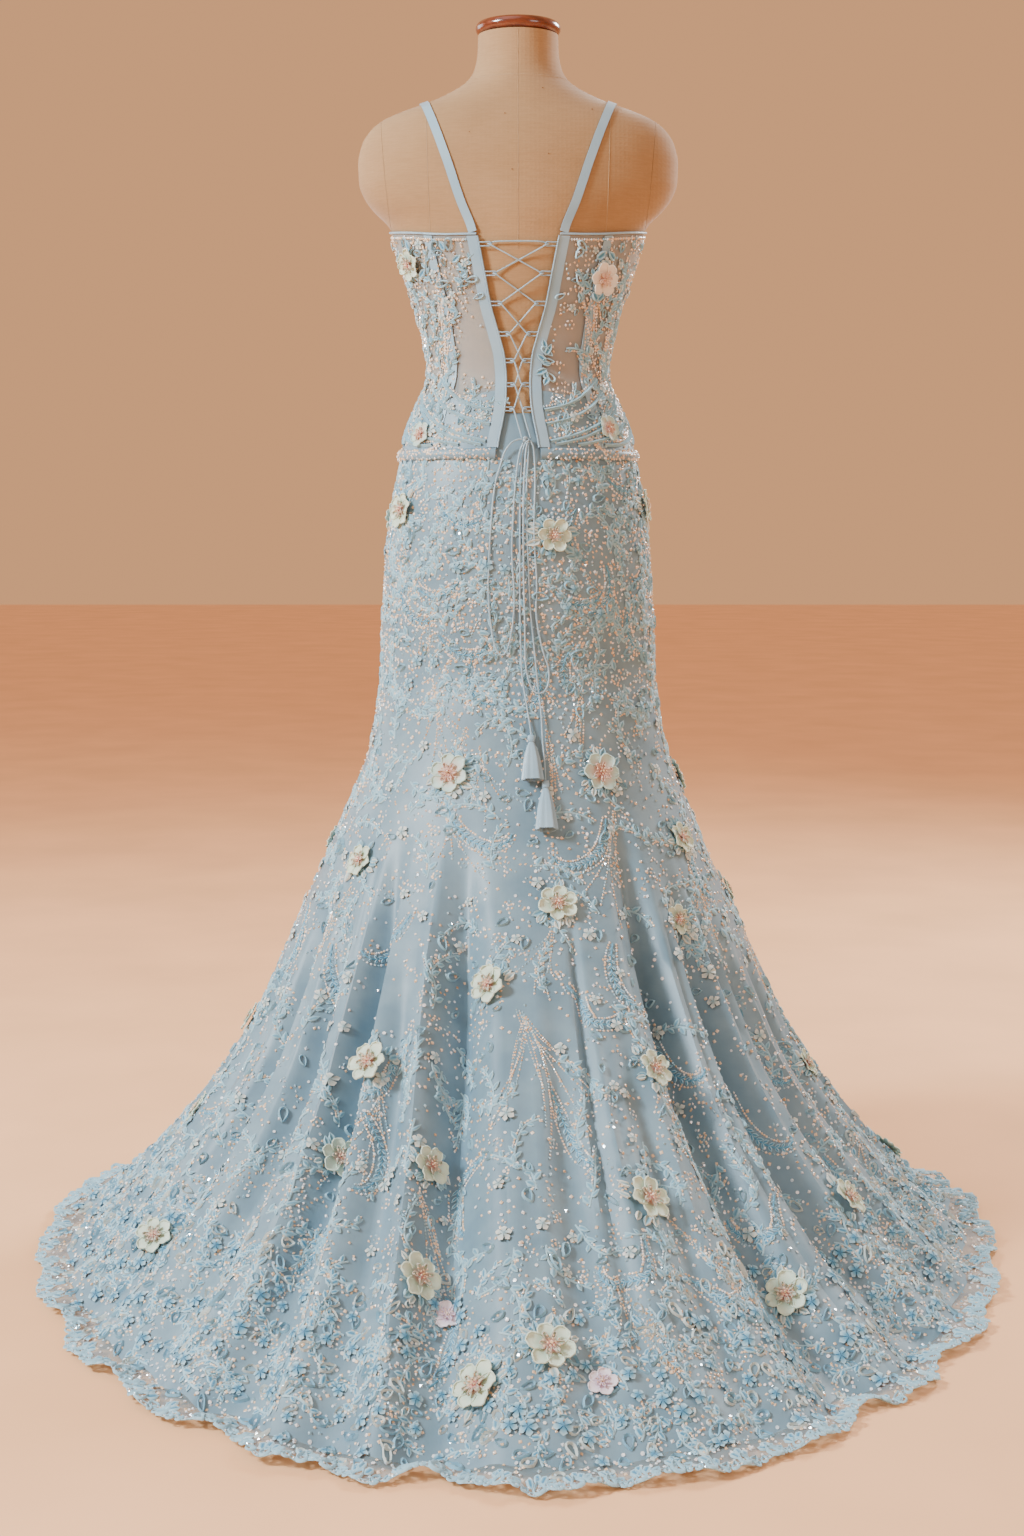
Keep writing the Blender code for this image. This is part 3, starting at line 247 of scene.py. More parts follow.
def make_looks():
    made = [
        canvas_finish("canvas"), wood_finish("wood"), plain_finish("steel", (0.5, 0.5, 0.5), 0.35),
        plain_finish("canvas_seam", (0.40, 0.29, 0.17), 0.9),
    ]
    made += [cloth_finish(name, low, high, *numbers, **sockets) for name, low, high, numbers, sockets in (
        # name, two tones, roughness, threads per metre, height of the weave in mm and patches per metre
        ("satin", (0.125, 0.240, 0.330), (0.185, 0.315, 0.405), (0.46, 1400, 0.05),
         {"Sheen_Weight": 0.2, "Sheen_Roughness": 0.35}),
        ("ribbon", (0.24, 0.42, 0.56), (0.30, 0.48, 0.61), (0.38, 2200, 0.05), {"Sheen_Weight": 0.2}),
        ("cord", (0.28, 0.46, 0.58), (0.38, 0.54, 0.64), (0.36, 1600, 0.1, 90), {}),
        ("net", (0.40, 0.52, 0.58), (0.47, 0.58, 0.62), (0.7, 900, 0.2), {"Alpha": 0.42}),
        ("border_net", (0.26, 0.44, 0.54), (0.38, 0.54, 0.62), (0.6, 900, 0.2), {"Alpha": 0.40}),
    )]
    made += [glitter_finish(name, tones, *numbers) for name, tones, numbers in (
        # name, tones, roughness, metal and coat
        ("pearl", [(0.46, 0.28, 0.13), (0.92, 0.74, 0.55), (0.66, 0.46, 0.27), (0.99, 0.93, 0.85)],
         (0.25, 0.0, 0.5)),
        ("crystal", [(0.72, 0.86, 0.92), (0.96, 0.97, 0.98), (0.50, 0.70, 0.82), (0.94, 0.86, 0.88)],
         (0.12, 0.1, 0.6)),
        ("sky_bead", [(0.22, 0.46, 0.62), (0.45, 0.66, 0.76), (0.30, 0.55, 0.70), (0.60, 0.76, 0.82)],
         (0.25, 0.2, 0.4)),
    )]
    made += [reach_finish(*row) for row in (
        # name, heart, middle and rim
        ("lace", (0.10, 0.28, 0.42), (0.17, 0.39, 0.53), (0.32, 0.55, 0.66), LACE_STOPS),
        ("sky_lace", (0.04, 0.19, 0.35), (0.09, 0.32, 0.50), (0.36, 0.60, 0.72), LACE_STOPS),
        ("pale_lace", (0.22, 0.40, 0.48), (0.40, 0.55, 0.58), (0.66, 0.72, 0.68), LACE_STOPS),
        ("petal", (0.62, 0.26, 0.24), (0.42, 0.60, 0.49), (0.62, 0.78, 0.66)),
        ("blush_petal", (0.60, 0.24, 0.22), (0.62, 0.54, 0.46), (0.48, 0.70, 0.66)),
        ("pale_petal", (0.70, 0.40, 0.38), (0.80, 0.74, 0.66), (0.82, 0.84, 0.78)),
        ("lilac_petal", (0.55, 0.40, 0.55), (0.70, 0.62, 0.76), (0.78, 0.76, 0.84)),
    )]
    return {look.name.split(".")[0]: look for look in made}     # the solids' looks may hold the plain name

# ---------------------------------------------------------------- sizes, as the solids have them

SEAM_GAP = 0.3 * MM          # between pieces that are sewn edge to edge or lie on each other
STRIP_GAP = 0.45 * MM        # under a strip that lies on two panels
CLEAR = 1.0 * MM             # from the body's section functions to the corset's inner face
UNDER_CORSET = 1.2 * MM      # between the skirt's top and the corset over it
FORM_INSET = 1.2 * MM        # how far inside those sections the canvas form stands, under cloth
FORM_INSET_FRONT = 2.5 * MM  # and how much further under the cups
FORM_INSET_SKIRT = 2.0 * MM  # and under the skirt
CUPS_FROM, CUPS_FULL = 95, 125           # turns between which the inset under the cups comes in

FORM_BOTTOM = 0.735
NECK_TOP = 1.583
CAP_RADIUS = 0.0555
CAP_HEIGHT = 0.0165
ARMHOLE_TOP = (0.178, 1.475)
ARMHOLE_BOTTOM = (0.1665, 1.342)
CORSET_WALL = 1.5 * MM
CORSET_HEM = 1.041           # middle of the rolled hem band
CORSET_HEM_HALF = 7.0 * MM   # half the band's height
CORSET_HEM_THICK = 5.5 * MM
BINDING_HALF = 2.0 * MM
SKIRT_WALL = 2.0 * MM
SKIRT_TOP = 1.093            # the skirt's top edge, under the corset
LACE_WALL = 1.5 * MM

SIDE_BACK_TURN = 45.0        # the corset's seams, each under a boning casing
SIDE_FRONT_TURN = 125.0
CASING_WIDTH = 12 * MM
CASING_WALL = 1.0 * MM
PLACKET_WIDTH = 12 * MM
PLACKET_WALL = 1.2 * MM
STRAP_WIDTH = 11 * MM
STRAP_WALL = 1.4 * MM
STRAP_CLEAR = 1.0 * MM
POLE_RADIUS = 0.016
FOOT_RADIUS = 0.17
FOOT_THICKNESS = 0.014
HUB_RADIUS = 0.03
HUB_HEIGHT = 0.045

PIPING_RADIUS = 1.2 * MM
LOOP_RADIUS = 0.8 * MM
LOOP_HALF_WIDTH = 2.6 * MM   # to the middle of each leg
LOOPS = (
    # height, length
    (1.306, 0.0155), (1.270, 0.0150), (1.233, 0.0145), (1.195, 0.0140), (1.161, 0.0115), (1.129, 0.0105),
    (1.097, 0.0110),
)
LACE_RADIUS = 1.0 * MM
KNOT = (-0.010, 0.1180, 1.0590)
KNOT_RADIUS = 4.5 * MM

SCALLOPS = 112               # round the whole hem
LACE_HEM_WIDTH = 40 * MM
SCALLOP_DEPTH = 9 * MM
HEM_WAVES = 37               # soft waves of its free edge, round the whole hem
HEM_WAVE_HEIGHT = 11 * MM
HEM_LIFT = 13 * MM           # how far the hem arches off the floor at a fold's crest
HEM_LIFT_FADES = 0.10        # the height where that arching has faded out
HEM_CREST = 16 * MM          # a valley this deep comes right down to the floor
STEP_OUT = (0.022, 0.050)    # above the skirt's top, where the corset comes back in to the body


class Table:
    """Rows of named columns, read at any height by a smooth curve that never overshoots its rows."""

    def __init__(self, columns, rows):
        self.names = columns.split()
        self.values = np.array(sorted(rows), float)

    def __call__(self, name, at):
        x = self.values[:, 0]
        y = self.values[:, self.names.index(name)]
        step = np.diff(x)
        slope = np.diff(y) / step
        inner = np.zeros(len(slope) - 1)
        same_way = slope[:-1] * slope[1:] > 0
        inner[same_way] = 2 * slope[:-1][same_way] * slope[1:][same_way] / (slope[:-1] + slope[1:])[same_way]
        tangent = np.concatenate([[slope[0]], inner, [slope[-1]]])
        at = np.clip(np.asarray(at, float), x[0], x[-1])
        i = np.clip(np.searchsorted(x, at) - 1, 0, len(step) - 1)
        s = (at - x[i]) / step[i]
        return (
            y[i] * (1 + 2 * s) * (1 - s) ** 2
            + tangent[i] * step[i] * s * (1 - s) ** 2
            + y[i + 1] * s * s * (3 - 2 * s)
            + tangent[i + 1] * step[i] * s * s * (s - 1)
        )


# The dress form, shoulder caps included: half its width, and its depth to the front and to the back.
BODY = Table("height half_width front back", [
    (0.735, 0.1785, 0.112, 0.124), (0.800, 0.1795, 0.116, 0.133), (0.860, 0.1760, 0.117, 0.136),
    (0.920, 0.1720, 0.115, 0.135), (0.970, 0.1650, 0.111, 0.129), (1.020, 0.1555, 0.105, 0.119),
    (1.060, 0.1455, 0.100, 0.108), (1.100, 0.1315, 0.095, 0.097), (1.130, 0.1195, 0.0905, 0.089),
    (1.155, 0.1165, 0.0890, 0.0855), (1.190, 0.1222, 0.0930, 0.0875), (1.230, 0.1320, 0.100, 0.094),
    (1.270, 0.1455, 0.106, 0.101), (1.300, 0.1560, 0.109, 0.105), (1.330, 0.1645, 0.110, 0.108),
    (1.345, 0.1740, 0.109, 0.109), (1.357, 0.1870, 0.107, 0.1095), (1.375, 0.2010, 0.103, 0.1090),
    (1.395, 0.2085, 0.098, 0.107), (1.420, 0.2095, 0.090, 0.104), (1.445, 0.2040, 0.081, 0.098),
    (1.462, 0.1930, 0.074, 0.092), (1.475, 0.1760, 0.068, 0.086), (1.485, 0.1520, 0.063, 0.081),
    (1.495, 0.1220, 0.0585, 0.0765), (1.505, 0.0980, 0.055, 0.072), (1.515, 0.0790, 0.053, 0.067),
    (1.525, 0.0660, 0.0525, 0.062), (1.540, 0.0570, 0.052, 0.057), (1.560, 0.0530, 0.052, 0.054),
    (1.583, 0.0520, 0.052, 0.053),
])
BUST_TURN, BUST_HEIGHT, BUST_REACH = 150.0, 1.295, 0.026   # the form's smooth general bust
BUST_TURN_SPREAD, BUST_HEIGHT_SPREAD = 24.0, 0.050

# The skirt's outer face along its fold crests, below where it leaves the form.
SKIRT = Table("height half_width front back", [
    (0.000, 0.606, 0.432, 0.824), (0.020, 0.582, 0.421, 0.798), (0.050, 0.552, 0.409, 0.764),
    (0.090, 0.515, 0.392, 0.718), (0.131, 0.478, 0.372, 0.668), (0.179, 0.437, 0.347, 0.608),
    (0.231, 0.400, 0.320, 0.544), (0.283, 0.367, 0.294, 0.481), (0.335, 0.342, 0.269, 0.421),
    (0.387, 0.316, 0.245, 0.364), (0.440, 0.291, 0.222, 0.312), (0.492, 0.266, 0.201, 0.266),
    (0.545, 0.243, 0.182, 0.227), (0.598, 0.220, 0.165, 0.195), (0.651, 0.201, 0.150, 0.170),
    (0.703, 0.190, 0.139, 0.155), (0.757, 0.1845, 0.128, 0.1455), (0.811, 0.1825, 0.121, 0.139),
])
LEAVES_FORM, ON_FORM = 0.70, 0.81

# The folds of the flare: the valleys between its crests. Turn at the hem and where the fold starts, the
# height where it starts, half its width at the hem in degrees, and its greatest depth.
FOLDS = (
    # hem_turn, start_turn, start_height, half_width, depth
    (-172, -172, 0.36, 6.5, 0.024), (-158, -157, 0.44, 7.0, 0.034), (-144, -142, 0.46, 6.5, 0.036),
    (-130, -127, 0.40, 7.0, 0.032), (-115, -112, 0.46, 7.0, 0.038), (-101, -98, 0.46, 6.5, 0.036),
    (-88, -86, 0.44, 5.5, 0.030), (-76, -73, 0.46, 5.5, 0.044), (-64, -60, 0.50, 5.5, 0.044),
    (-51, -47, 0.56, 6.5, 0.074), (-37, -33, 0.64, 6.5, 0.090), (-25.5, -22, 0.40, 4.5, 0.026),
    (-9, -8, 0.42, 5.5, 0.024), (8, 17, 0.62, 6.5, 0.084), (19, 28, 0.46, 5.0, 0.040),
    (31, 39, 0.60, 6.5, 0.084), (46, 51, 0.52, 7.0, 0.068), (60, 63, 0.54, 6.5, 0.064),
    (73, 75, 0.46, 5.5, 0.034), (86, 87, 0.46, 6.0, 0.034), (100, 99, 0.46, 7.0, 0.038),
    (114, 111, 0.42, 6.5, 0.034), (129, 126, 0.46, 7.0, 0.038), (144, 142, 0.40, 7.0, 0.032),
    (159, 158, 0.46, 6.5, 0.036), (174, 174, 0.38, 6.5, 0.026),
)
FOLD_GAIN = Table("height gain", [
    (0.00, 0.38), (0.04, 0.58), (0.10, 0.88), (0.20, 1.00), (0.35, 0.90), (0.48, 0.62), (0.60, 0.22),
    (0.68, 0.0),
])

# Half the width of the laced opening at the centre back.
OPENING = Table("height half_gap", [
    (1.034, 0.0290), (1.056, 0.0260), (1.090, 0.0195), (1.110, 0.0170), (1.130, 0.0165), (1.163, 0.0185),
    (1.193, 0.0255), (1.231, 0.0360), (1.270, 0.0435), (1.306, 0.0505), (1.325, 0.0545),
])

# The corset's top edge, lowest at the back and highest over the bust.
CORSET_TOP = Table("turn height", [
    (0, 1.316), (30, 1.317), (60, 1.324), (85, 1.330), (110, 1.338), (135, 1.362), (150, 1.372), (165, 1.356),
    (180, 1.330),
])


# ---------------------------------------------------------------- section functions

def smoothstep(low, high, value):
    share = np.clip((np.asarray(value, float) - low) / (high - low), 0, 1)
    return share * share * (3 - 2 * share)


def turn_gap(a, b):
    """The signed difference between two turns, from -180 to 180."""
    return (np.asarray(a, float) - b + 180) % 360 - 180


def oval(turn, half_width, front, back):
    """A point of an egg-shaped section: its back half is as deep as back, its front half as front."""
    angle = np.radians(turn)
    depth = np.where(np.cos(angle) >= 0, back, front)
    return half_width * np.sin(angle), depth * np.cos(angle)


def body_point(turn, height):
    """The dress form's surface."""
    turn, height = np.broadcast_arrays(np.asarray(turn, float), np.asarray(height, float))
    x, y = oval(turn, BODY("half_width", height), BODY("front", height), BODY("back", height))
    for side in (-1, 1):
        near = (turn_gap(turn, side * BUST_TURN) / BUST_TURN_SPREAD) ** 2
        near = near + ((height - BUST_HEIGHT) / BUST_HEIGHT_SPREAD) ** 2
        y = y - BUST_REACH * np.exp(-near)
    return np.stack([x, y, height], axis=-1)


def normals(surface, turn, height):
    """Unit normals of a section function, pointing out of the body."""
    around = surface(turn + 0.3, height) - surface(turn - 0.3, height)
    up = surface(turn, np.asarray(height) + 0.001) - surface(turn, np.asarray(height) - 0.001)
    across = np.cross(up, around)
    return across / np.linalg.norm(across, axis=-1, keepdims=True)


def body_offset(turn, height, lift):
    """The dress form's surface, moved out along its normals."""
    turn, height, lift = np.broadcast_arrays(
        np.asarray(turn, float), np.asarray(height, float), np.asarray(lift, float)
    )
    return body_point(turn, height) + normals(body_point, turn, height) * lift[..., None]


def fold_centre(fold, height):
    hem_turn, start_turn, start_height = fold[:3]
    share = np.clip((start_height - height) / start_height, 0, 1)
    return start_turn + (hem_turn - start_turn) * share


def skirt_turn(hem_turn, height):
    """The turn, at a height, of the line that reaches the hem at hem_turn and runs along with the folds."""
    hem_turn, height = np.broadcast_arrays(np.asarray(hem_turn, float), np.asarray(height, float))
    shifts = np.stack([fold_centre(fold, height) - fold[0] for fold in FOLDS], axis=-1)
    hems = np.array([fold[0] for fold in FOLDS], float)
    hems = np.concatenate([[hems[-1] - 360], hems, [hems[0] + 360]])
    shifts = np.concatenate([shifts[..., -1:], shifts, shifts[..., :1]], axis=-1)
    at = (hem_turn + 180) % 360 - 180
    i = np.clip(np.searchsorted(hems, at, side="right") - 1, 0, len(hems) - 2)
    share = (at - hems[i]) / (hems[i + 1] - hems[i])
    low = np.take_along_axis(shifts, i[..., None], axis=-1)[..., 0]
    high = np.take_along_axis(shifts, i[..., None] + 1, axis=-1)[..., 0]
    return hem_turn + low + (high - low) * smoothstep(0, 1, share)


def skirt_valley(hem_turn, height):
    """How far the folds take the skirt in from its crests, in metres."""
    hem_turn, height = np.broadcast_arrays(np.asarray(hem_turn, float), np.asarray(height, float))
    depth = np.zeros(hem_turn.shape)
    for centre, _, start_height, half_width, deepest in FOLDS:
        grown = smoothstep(0, 0.5, (start_height - height) / start_height)
        across = np.clip(turn_gap(hem_turn, centre) / half_width, -1, 1)
        depth += deepest * grown * np.cos(across * math.pi / 2) ** 2
    return depth * FOLD_GAIN("gain", height)


def skirt_point(hem_turn, height):
    """The skirt's outer face, on the form at the top and free of it below. Height 0 is the hem."""
    hem_turn, height = np.broadcast_arrays(np.asarray(hem_turn, float), np.asarray(height, float))
    turn = skirt_turn(hem_turn, height)
    x, y = oval(turn, SKIRT("half_width", height), SKIRT("front", height), SKIRT("back", height))
    valley = skirt_valley(hem_turn, height)
    kept = 1 - valley / np.hypot(x, y)
    crest = 1 - np.clip(valley / HEM_CREST, 0, 1)
    lift = SKIRT_WALL + HEM_LIFT * crest
    z = height + lift * (1 - smoothstep(0, HEM_LIFT_FADES, height))
    free = np.stack([x * kept, y * kept, z], axis=-1)
    share = smoothstep(LEAVES_FORM, ON_FORM, height)[..., None]
    return free * (1 - share) + body_offset(turn, height, CLEAR + SKIRT_WALL) * share


def corset_point(turn, height, lift):
    """A point that far above the corset's inner face, which steps out over the skirt's top."""
    low, high = (SKIRT_TOP + above for above in STEP_OUT)
    step = (SKIRT_WALL + UNDER_CORSET) * (1 - smoothstep(low, high, height))
    return body_offset(turn, height, CLEAR + step + lift)


def form_point(turn, height):
    """The canvas form's own surface: the body, a little slimmer where cloth covers it."""
    front = smoothstep(CUPS_FROM, CUPS_FULL, np.abs(turn_gap(turn, 0)))
    back_edge, front_edge = float(CORSET_TOP("height", 0)), float(CORSET_TOP("height", 150))
    under = FORM_INSET * (1 - smoothstep(back_edge, back_edge + 0.03, height))
    above_front = smoothstep(front_edge - 0.035, front_edge - 0.005, height)
    under = under + FORM_INSET_FRONT * front * (1 - above_front)
    under = under + FORM_INSET_SKIRT * (1 - smoothstep(SKIRT_TOP - 0.02, SKIRT_TOP + 0.01, height))
    return body_offset(turn, height, -under)


def turn_of(x, height):
    """The turn of a place at the back, by its x."""
    return math.degrees(math.asin(x / float(BODY("half_width", height))))


def on_back(x, height, lift):
    """A point above the corset's inner face at the back, by its x."""
    return Vector(corset_point(turn_of(x, height), height, lift))


def corset_top(turn):
    return CORSET_TOP("height", np.abs(turn_gap(turn, 0)))


def band_lift(height):
    """How far the rolled hem band stands out at a height, above the corset's inner face."""
    share = np.clip(np.abs(np.asarray(height, float) - CORSET_HEM) / CORSET_HEM_HALF, 0, 1)
    return 0.2 * MM + CORSET_HEM_THICK * np.sqrt(1 - share ** 2)


def opening_turns(height):
    """The turn of the laced opening's edge."""
    return np.degrees(np.arcsin(OPENING("half_gap", height) / BODY("half_width", height)))


def through(points, spacing):
    """A smooth curve through given points, read every so far."""
    points = [Vector(p) for p in points]
    ends = [points[0] * 2 - points[1]] + points + [points[-1] * 2 - points[-2]]
    line = []
    for a, b, c, d in zip(ends, ends[1:], ends[2:], ends[3:]):
        steps = max(1, round((c - b).length / spacing))
        for i in range(steps):
            t = i / steps
            square, cube = 2 * a - 5 * b + 4 * c - d, 3 * b - a - 3 * c + d
            line.append((2 * b + (c - a) * t + square * t**2 + cube * t**3) / 2)
    return line + [points[-1]]


# ---------------------------------------------------------------- lacing routes

LOOP_LIFT = 3.2 * MM         # of the loops' middle, above the corset's inner face
LACE_STEP = 2.1 * MM         # from a loop's middle to the lace over or under it
CROSSING_SPREAD = 1.3 * MM


def loop_tip(height, length):
    """How far from the centre back a loop's turn starts."""
    return float(OPENING("half_gap", height)) - PIPING_RADIUS - length + LOOP_HALF_WIDTH


def lace_turn(side, height, length):
    """The lace through one loop, from below: over its turn, down through the eye and back under its turn."""
    tip = loop_tip(height, length)
    arc, eye = tip - LOOP_HALF_WIDTH * 0.95, tip + 1.2 * MM
    return [
        on_back(side * (arc - 1.2 * MM), height - 2.0 * MM, LOOP_LIFT + LACE_STEP),
        on_back(side * (arc + 0.6 * MM), height - 0.6 * MM, LOOP_LIFT + LACE_STEP),
        on_back(side * eye, height, LOOP_LIFT),
        on_back(side * (arc + 0.6 * MM), height + 0.6 * MM, LOOP_LIFT - LACE_STEP),
        on_back(side * (arc - 1.2 * MM), height + 2.0 * MM, LOOP_LIFT - LACE_STEP),
    ]


def lace_half(side):
    """Half of the lace, from the knot up to the top loop, turning at each loop on alternate sides."""
    line = []
    for n, (height, length) in enumerate(reversed(LOOPS)):
        turn = lace_turn(side if n % 2 == 0 else -side, height, length)
        if n:
            line.append((line[-1] + turn[0]) / 2 + Vector((0, CROSSING_SPREAD * side, 0)))
        line += turn
    return line


# Where the hanging strands of the lace run, from the knot down, and back to it on the two bow loops.
BOW_LEFT = (
    (-0.0044, 0.1186, 1.0604), (0.0060, 0.1210, 1.0580), (0.0165, 0.1215, 1.0460), (0.0230, 0.1225, 1.0270),
    (0.0285, 0.1250, 1.0080), (0.0325, 0.1300, 0.9800), (0.0362, 0.1366, 0.9300), (0.0383, 0.1385, 0.8700),
    (0.0350, 0.1392, 0.8250), (0.0295, 0.1400, 0.7970), (0.0220, 0.1405, 0.7860), (0.0140, 0.1406, 0.7930),
    (0.0080, 0.1404, 0.8200), (0.0050, 0.1404, 0.8600), (0.0082, 0.1404, 0.9150), (0.0066, 0.1358, 0.9600),
    (0.0040, 0.1286, 1.0000), (-0.0010, 0.1222, 1.0400), (-0.0060, 0.1210, 1.0552),
)
BOW_RIGHT = (
    (-0.0156, 0.1184, 1.0586), (-0.0188, 0.1188, 1.0520), (-0.0207, 0.1205, 1.0350),
    (-0.0214, 0.1256, 1.0093), (-0.0202, 0.1380, 0.9400), (-0.0235, 0.1394, 0.8800),
    (-0.0232, 0.1394, 0.8350), (-0.0304, 0.1404, 0.7960), (-0.0385, 0.1418, 0.7700),
    (-0.0390, 0.1440, 0.7520), (-0.0345, 0.1470, 0.7410), (-0.0265, 0.1492, 0.7375),
    (-0.0165, 0.1484, 0.7450), (-0.0095, 0.1452, 0.7740), (-0.0085, 0.1432, 0.8212),
    (-0.0070, 0.1426, 0.8800), (-0.0064, 0.1400, 0.9400), (-0.0070, 0.1312, 1.0000),
    (-0.0092, 0.1232, 1.0400), (-0.0112, 0.1214, 1.0542),
)
TAIL_LEFT = (
    (-0.0082, 0.1166, 1.0542), (-0.0052, 0.1190, 1.0400), (-0.0028, 0.1268, 1.0000),
    (-0.0021, 0.1372, 0.9450), (-0.0020, 0.1400, 0.9150), (-0.0022, 0.1398, 0.8464),
    (-0.0034, 0.1406, 0.7960), (-0.0051, 0.1430, 0.7582), (-0.0110, 0.1524, 0.7207),
    (-0.0164, 0.1628, 0.6870),
)
TAIL_RIGHT = (
    (-0.0130, 0.1166, 1.0542), (-0.0130, 0.1186, 1.0400), (-0.0108, 0.1266, 1.0000),
    (-0.0112, 0.1380, 0.9400), (-0.0130, 0.1394, 0.8967), (-0.0152, 0.1394, 0.8464),
    (-0.0203, 0.1404, 0.7960), (-0.0253, 0.1446, 0.7457), (-0.0291, 0.1546, 0.7131),
    (-0.0309, 0.1640, 0.6791), (-0.0335, 0.1728, 0.6520), (-0.0345, 0.1822, 0.6300),
)
TAIL_RADIUS = 1.1 * MM
# The two satin bells: where the tail enters the head, and the middle of the bell's mouth.
TASSEL_LEFT = (-0.0164, 0.1632, 0.6865), (-0.0180, 0.1880, 0.6310)
TASSEL_RIGHT = (-0.0345, 0.1826, 0.6295), (-0.0355, 0.2200, 0.5720)

# ---------------------------------------------------------------- lines up the corset

def opening_line(beside):
    """A line up the corset that far outside the laced opening's edge, as a turn by height."""
    return lambda z: math.degrees(math.asin((OPENING("half_gap", z) + beside) / BODY("half_width", z)))


def seam_line(turn, beside=0.0):
    """A line up the corset at a turn, or that far beside it."""
    return lambda z: turn + math.degrees(beside / np.linalg.norm(body_point(turn, z)[:2]))


def between(first, last, count):
    """Lines spaced evenly between two others."""
    shares = np.arange(1, count + 1) / (count + 1)
    return [lambda z, s=share: first(z) + (last(z) - first(z)) * s for share in shares]


def casing_lines(turn):
    return [seam_line(turn, beside) for beside in (-CASING_WIDTH / 2, 0.0, CASING_WIDTH / 2)]


def corset_lines():
    """The lines from the opening's edge round to the centre front, and where the pieces lie among them."""
    placket = [opening_line(0.0), opening_line(PLACKET_WIDTH)]
    back_casing, front_casing = casing_lines(SIDE_BACK_TURN), casing_lines(SIDE_FRONT_TURN)
    back = between(placket[-1], back_casing[0], 2)
    side = between(back_casing[-1], front_casing[0], 6)
    front = between(front_casing[-1], seam_line(180), 4) + [seam_line(180)]
    lines = placket + back + back_casing + side + front_casing + front
    back_seam = lines.index(back_casing[1])
    front_seam = lines.index(front_casing[1])
    return lines, back_seam, front_seam


STRAP_ROUTE = (
    # x, y, z on the wearer's left, from the back's top edge over the shoulder to the front's
    (0.0610, 0.112, 1.3235), (0.0730, 0.108, 1.355), (0.0860, 0.104, 1.395), (0.1000, 0.096, 1.435),
    (0.1120, 0.078, 1.468), (0.1215, 0.045, 1.493), (0.1250, 0.000, 1.500), (0.1220, -0.042, 1.485),
    (0.1170, -0.075, 1.455), (0.1120, -0.100, 1.415), (0.1080, -0.125, 1.3780),
)


# ---------------------------------------------------------------- making pieces

def piece(name, data, look, slot, *replaced):
    """An object of the gown or its form, in the row frame, with its finish and body; its slot is not used."""
    made = placed(name, data)
    data.materials.append(LOOKS[look])
    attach(made, "root")
    if replaced:
        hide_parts(*replaced)
    return made


SHARP = math.radians(50)     # edges sharper than this stay crisp on cloth and solid shapes
MANY = 60000                 # corners past which a mesh is beading, and has no such edges


def mesh_of(name, points, corners, counts, smooth=True, reach=None):
    """A mesh from arrays: its points, the corners of its faces in one row, and each face's count of them."""
    mesh = bpy.data.meshes.new(name)
    mesh.vertices.add(len(points))
    mesh.vertices.foreach_set("co", np.asarray(points, np.float32).ravel())
    mesh.loops.add(len(corners))
    mesh.loops.foreach_set("vertex_index", np.asarray(corners, np.int32))
    mesh.polygons.add(len(counts))
    starts = np.concatenate([[0], np.cumsum(counts)[:-1]])
    mesh.polygons.foreach_set("loop_start", starts.astype(np.int32))
    mesh.update(calc_edges=True)
    if reach is not None:
        tint = mesh.attributes.new("reach", "FLOAT", "POINT")
        tint.data.foreach_set("value", np.asarray(reach, np.float32))
    if smooth:
        mesh.shade_smooth()
        if len(corners) < MANY or name.startswith("satin"):
            mesh.set_sharp_from_angle(angle=SHARP)
    return mesh


def joined(name, parts, look, slot, *replaced, smooth=True, reach=None):
    """One piece from several (points, faces) shapes, each face a tuple of its corners."""
    points, corners, counts, offset = [], [], [], 0
    for places, faces in parts:
        points.append(np.asarray(places, float).reshape(-1, 3))
        if isinstance(faces, np.ndarray):
            corners.append(faces.ravel() + offset)
            counts.append(np.full(len(faces), faces.shape[1]))
        else:
            corners.append(np.array([i for face in faces for i in face]) + offset)
            counts.append(np.array([len(face) for face in faces]))
        offset += len(points[-1])
    whole = (np.concatenate(rows) for rows in (points, corners, counts))
    return piece(name, mesh_of(name, *whole, smooth, reach), look, slot, *replaced)


def grid_faces(rows, columns, offset=0, flip=False):
    """Quads over a grid of points."""
    quads = []
    for r in range(rows - 1):
        for c in range(columns - 1):
            a = offset + r * columns + c
            quad = (a, a + 1, a + columns + 1, a + columns)
            quads.append(quad[::-1] if flip else quad)
    return quads


def ring_faces(rings, sides, closed=False, flip=False):
    """Quads round a stack of rings of points, or round a closed loop of them."""
    quads = []
    for r in range(rings if closed else rings - 1):
        here, after = r * sides, (r + 1) % rings * sides
        for i in range(sides):
            j = (i + 1) % sides
            quad = (here + i, here + j, after + j, after + i)
            quads.append(quad[::-1] if flip else quad)
    return quads


def shell(outer, inner):
    """Points and faces of cloth between two grids, with a rim. Rows run down, columns to the left."""
    rows, columns = outer.shape[:2]
    count = rows * columns
    rim = [(0, c) for c in range(columns - 1)] + [(r, columns - 1) for r in range(rows - 1)]
    rim += [(rows - 1, c) for c in range(columns - 1, 0, -1)] + [(r, 0) for r in range(rows - 1, 0, -1)]
    rim = [r * columns + c for r, c in rim]
    faces = grid_faces(rows, columns) + grid_faces(rows, columns, count, flip=True)
    faces += [(b, a, count + a, count + b) for a, b in zip(rim, rim[1:] + rim[:1])]
    return np.concatenate([outer.reshape(-1, 3), inner.reshape(-1, 3)]), faces


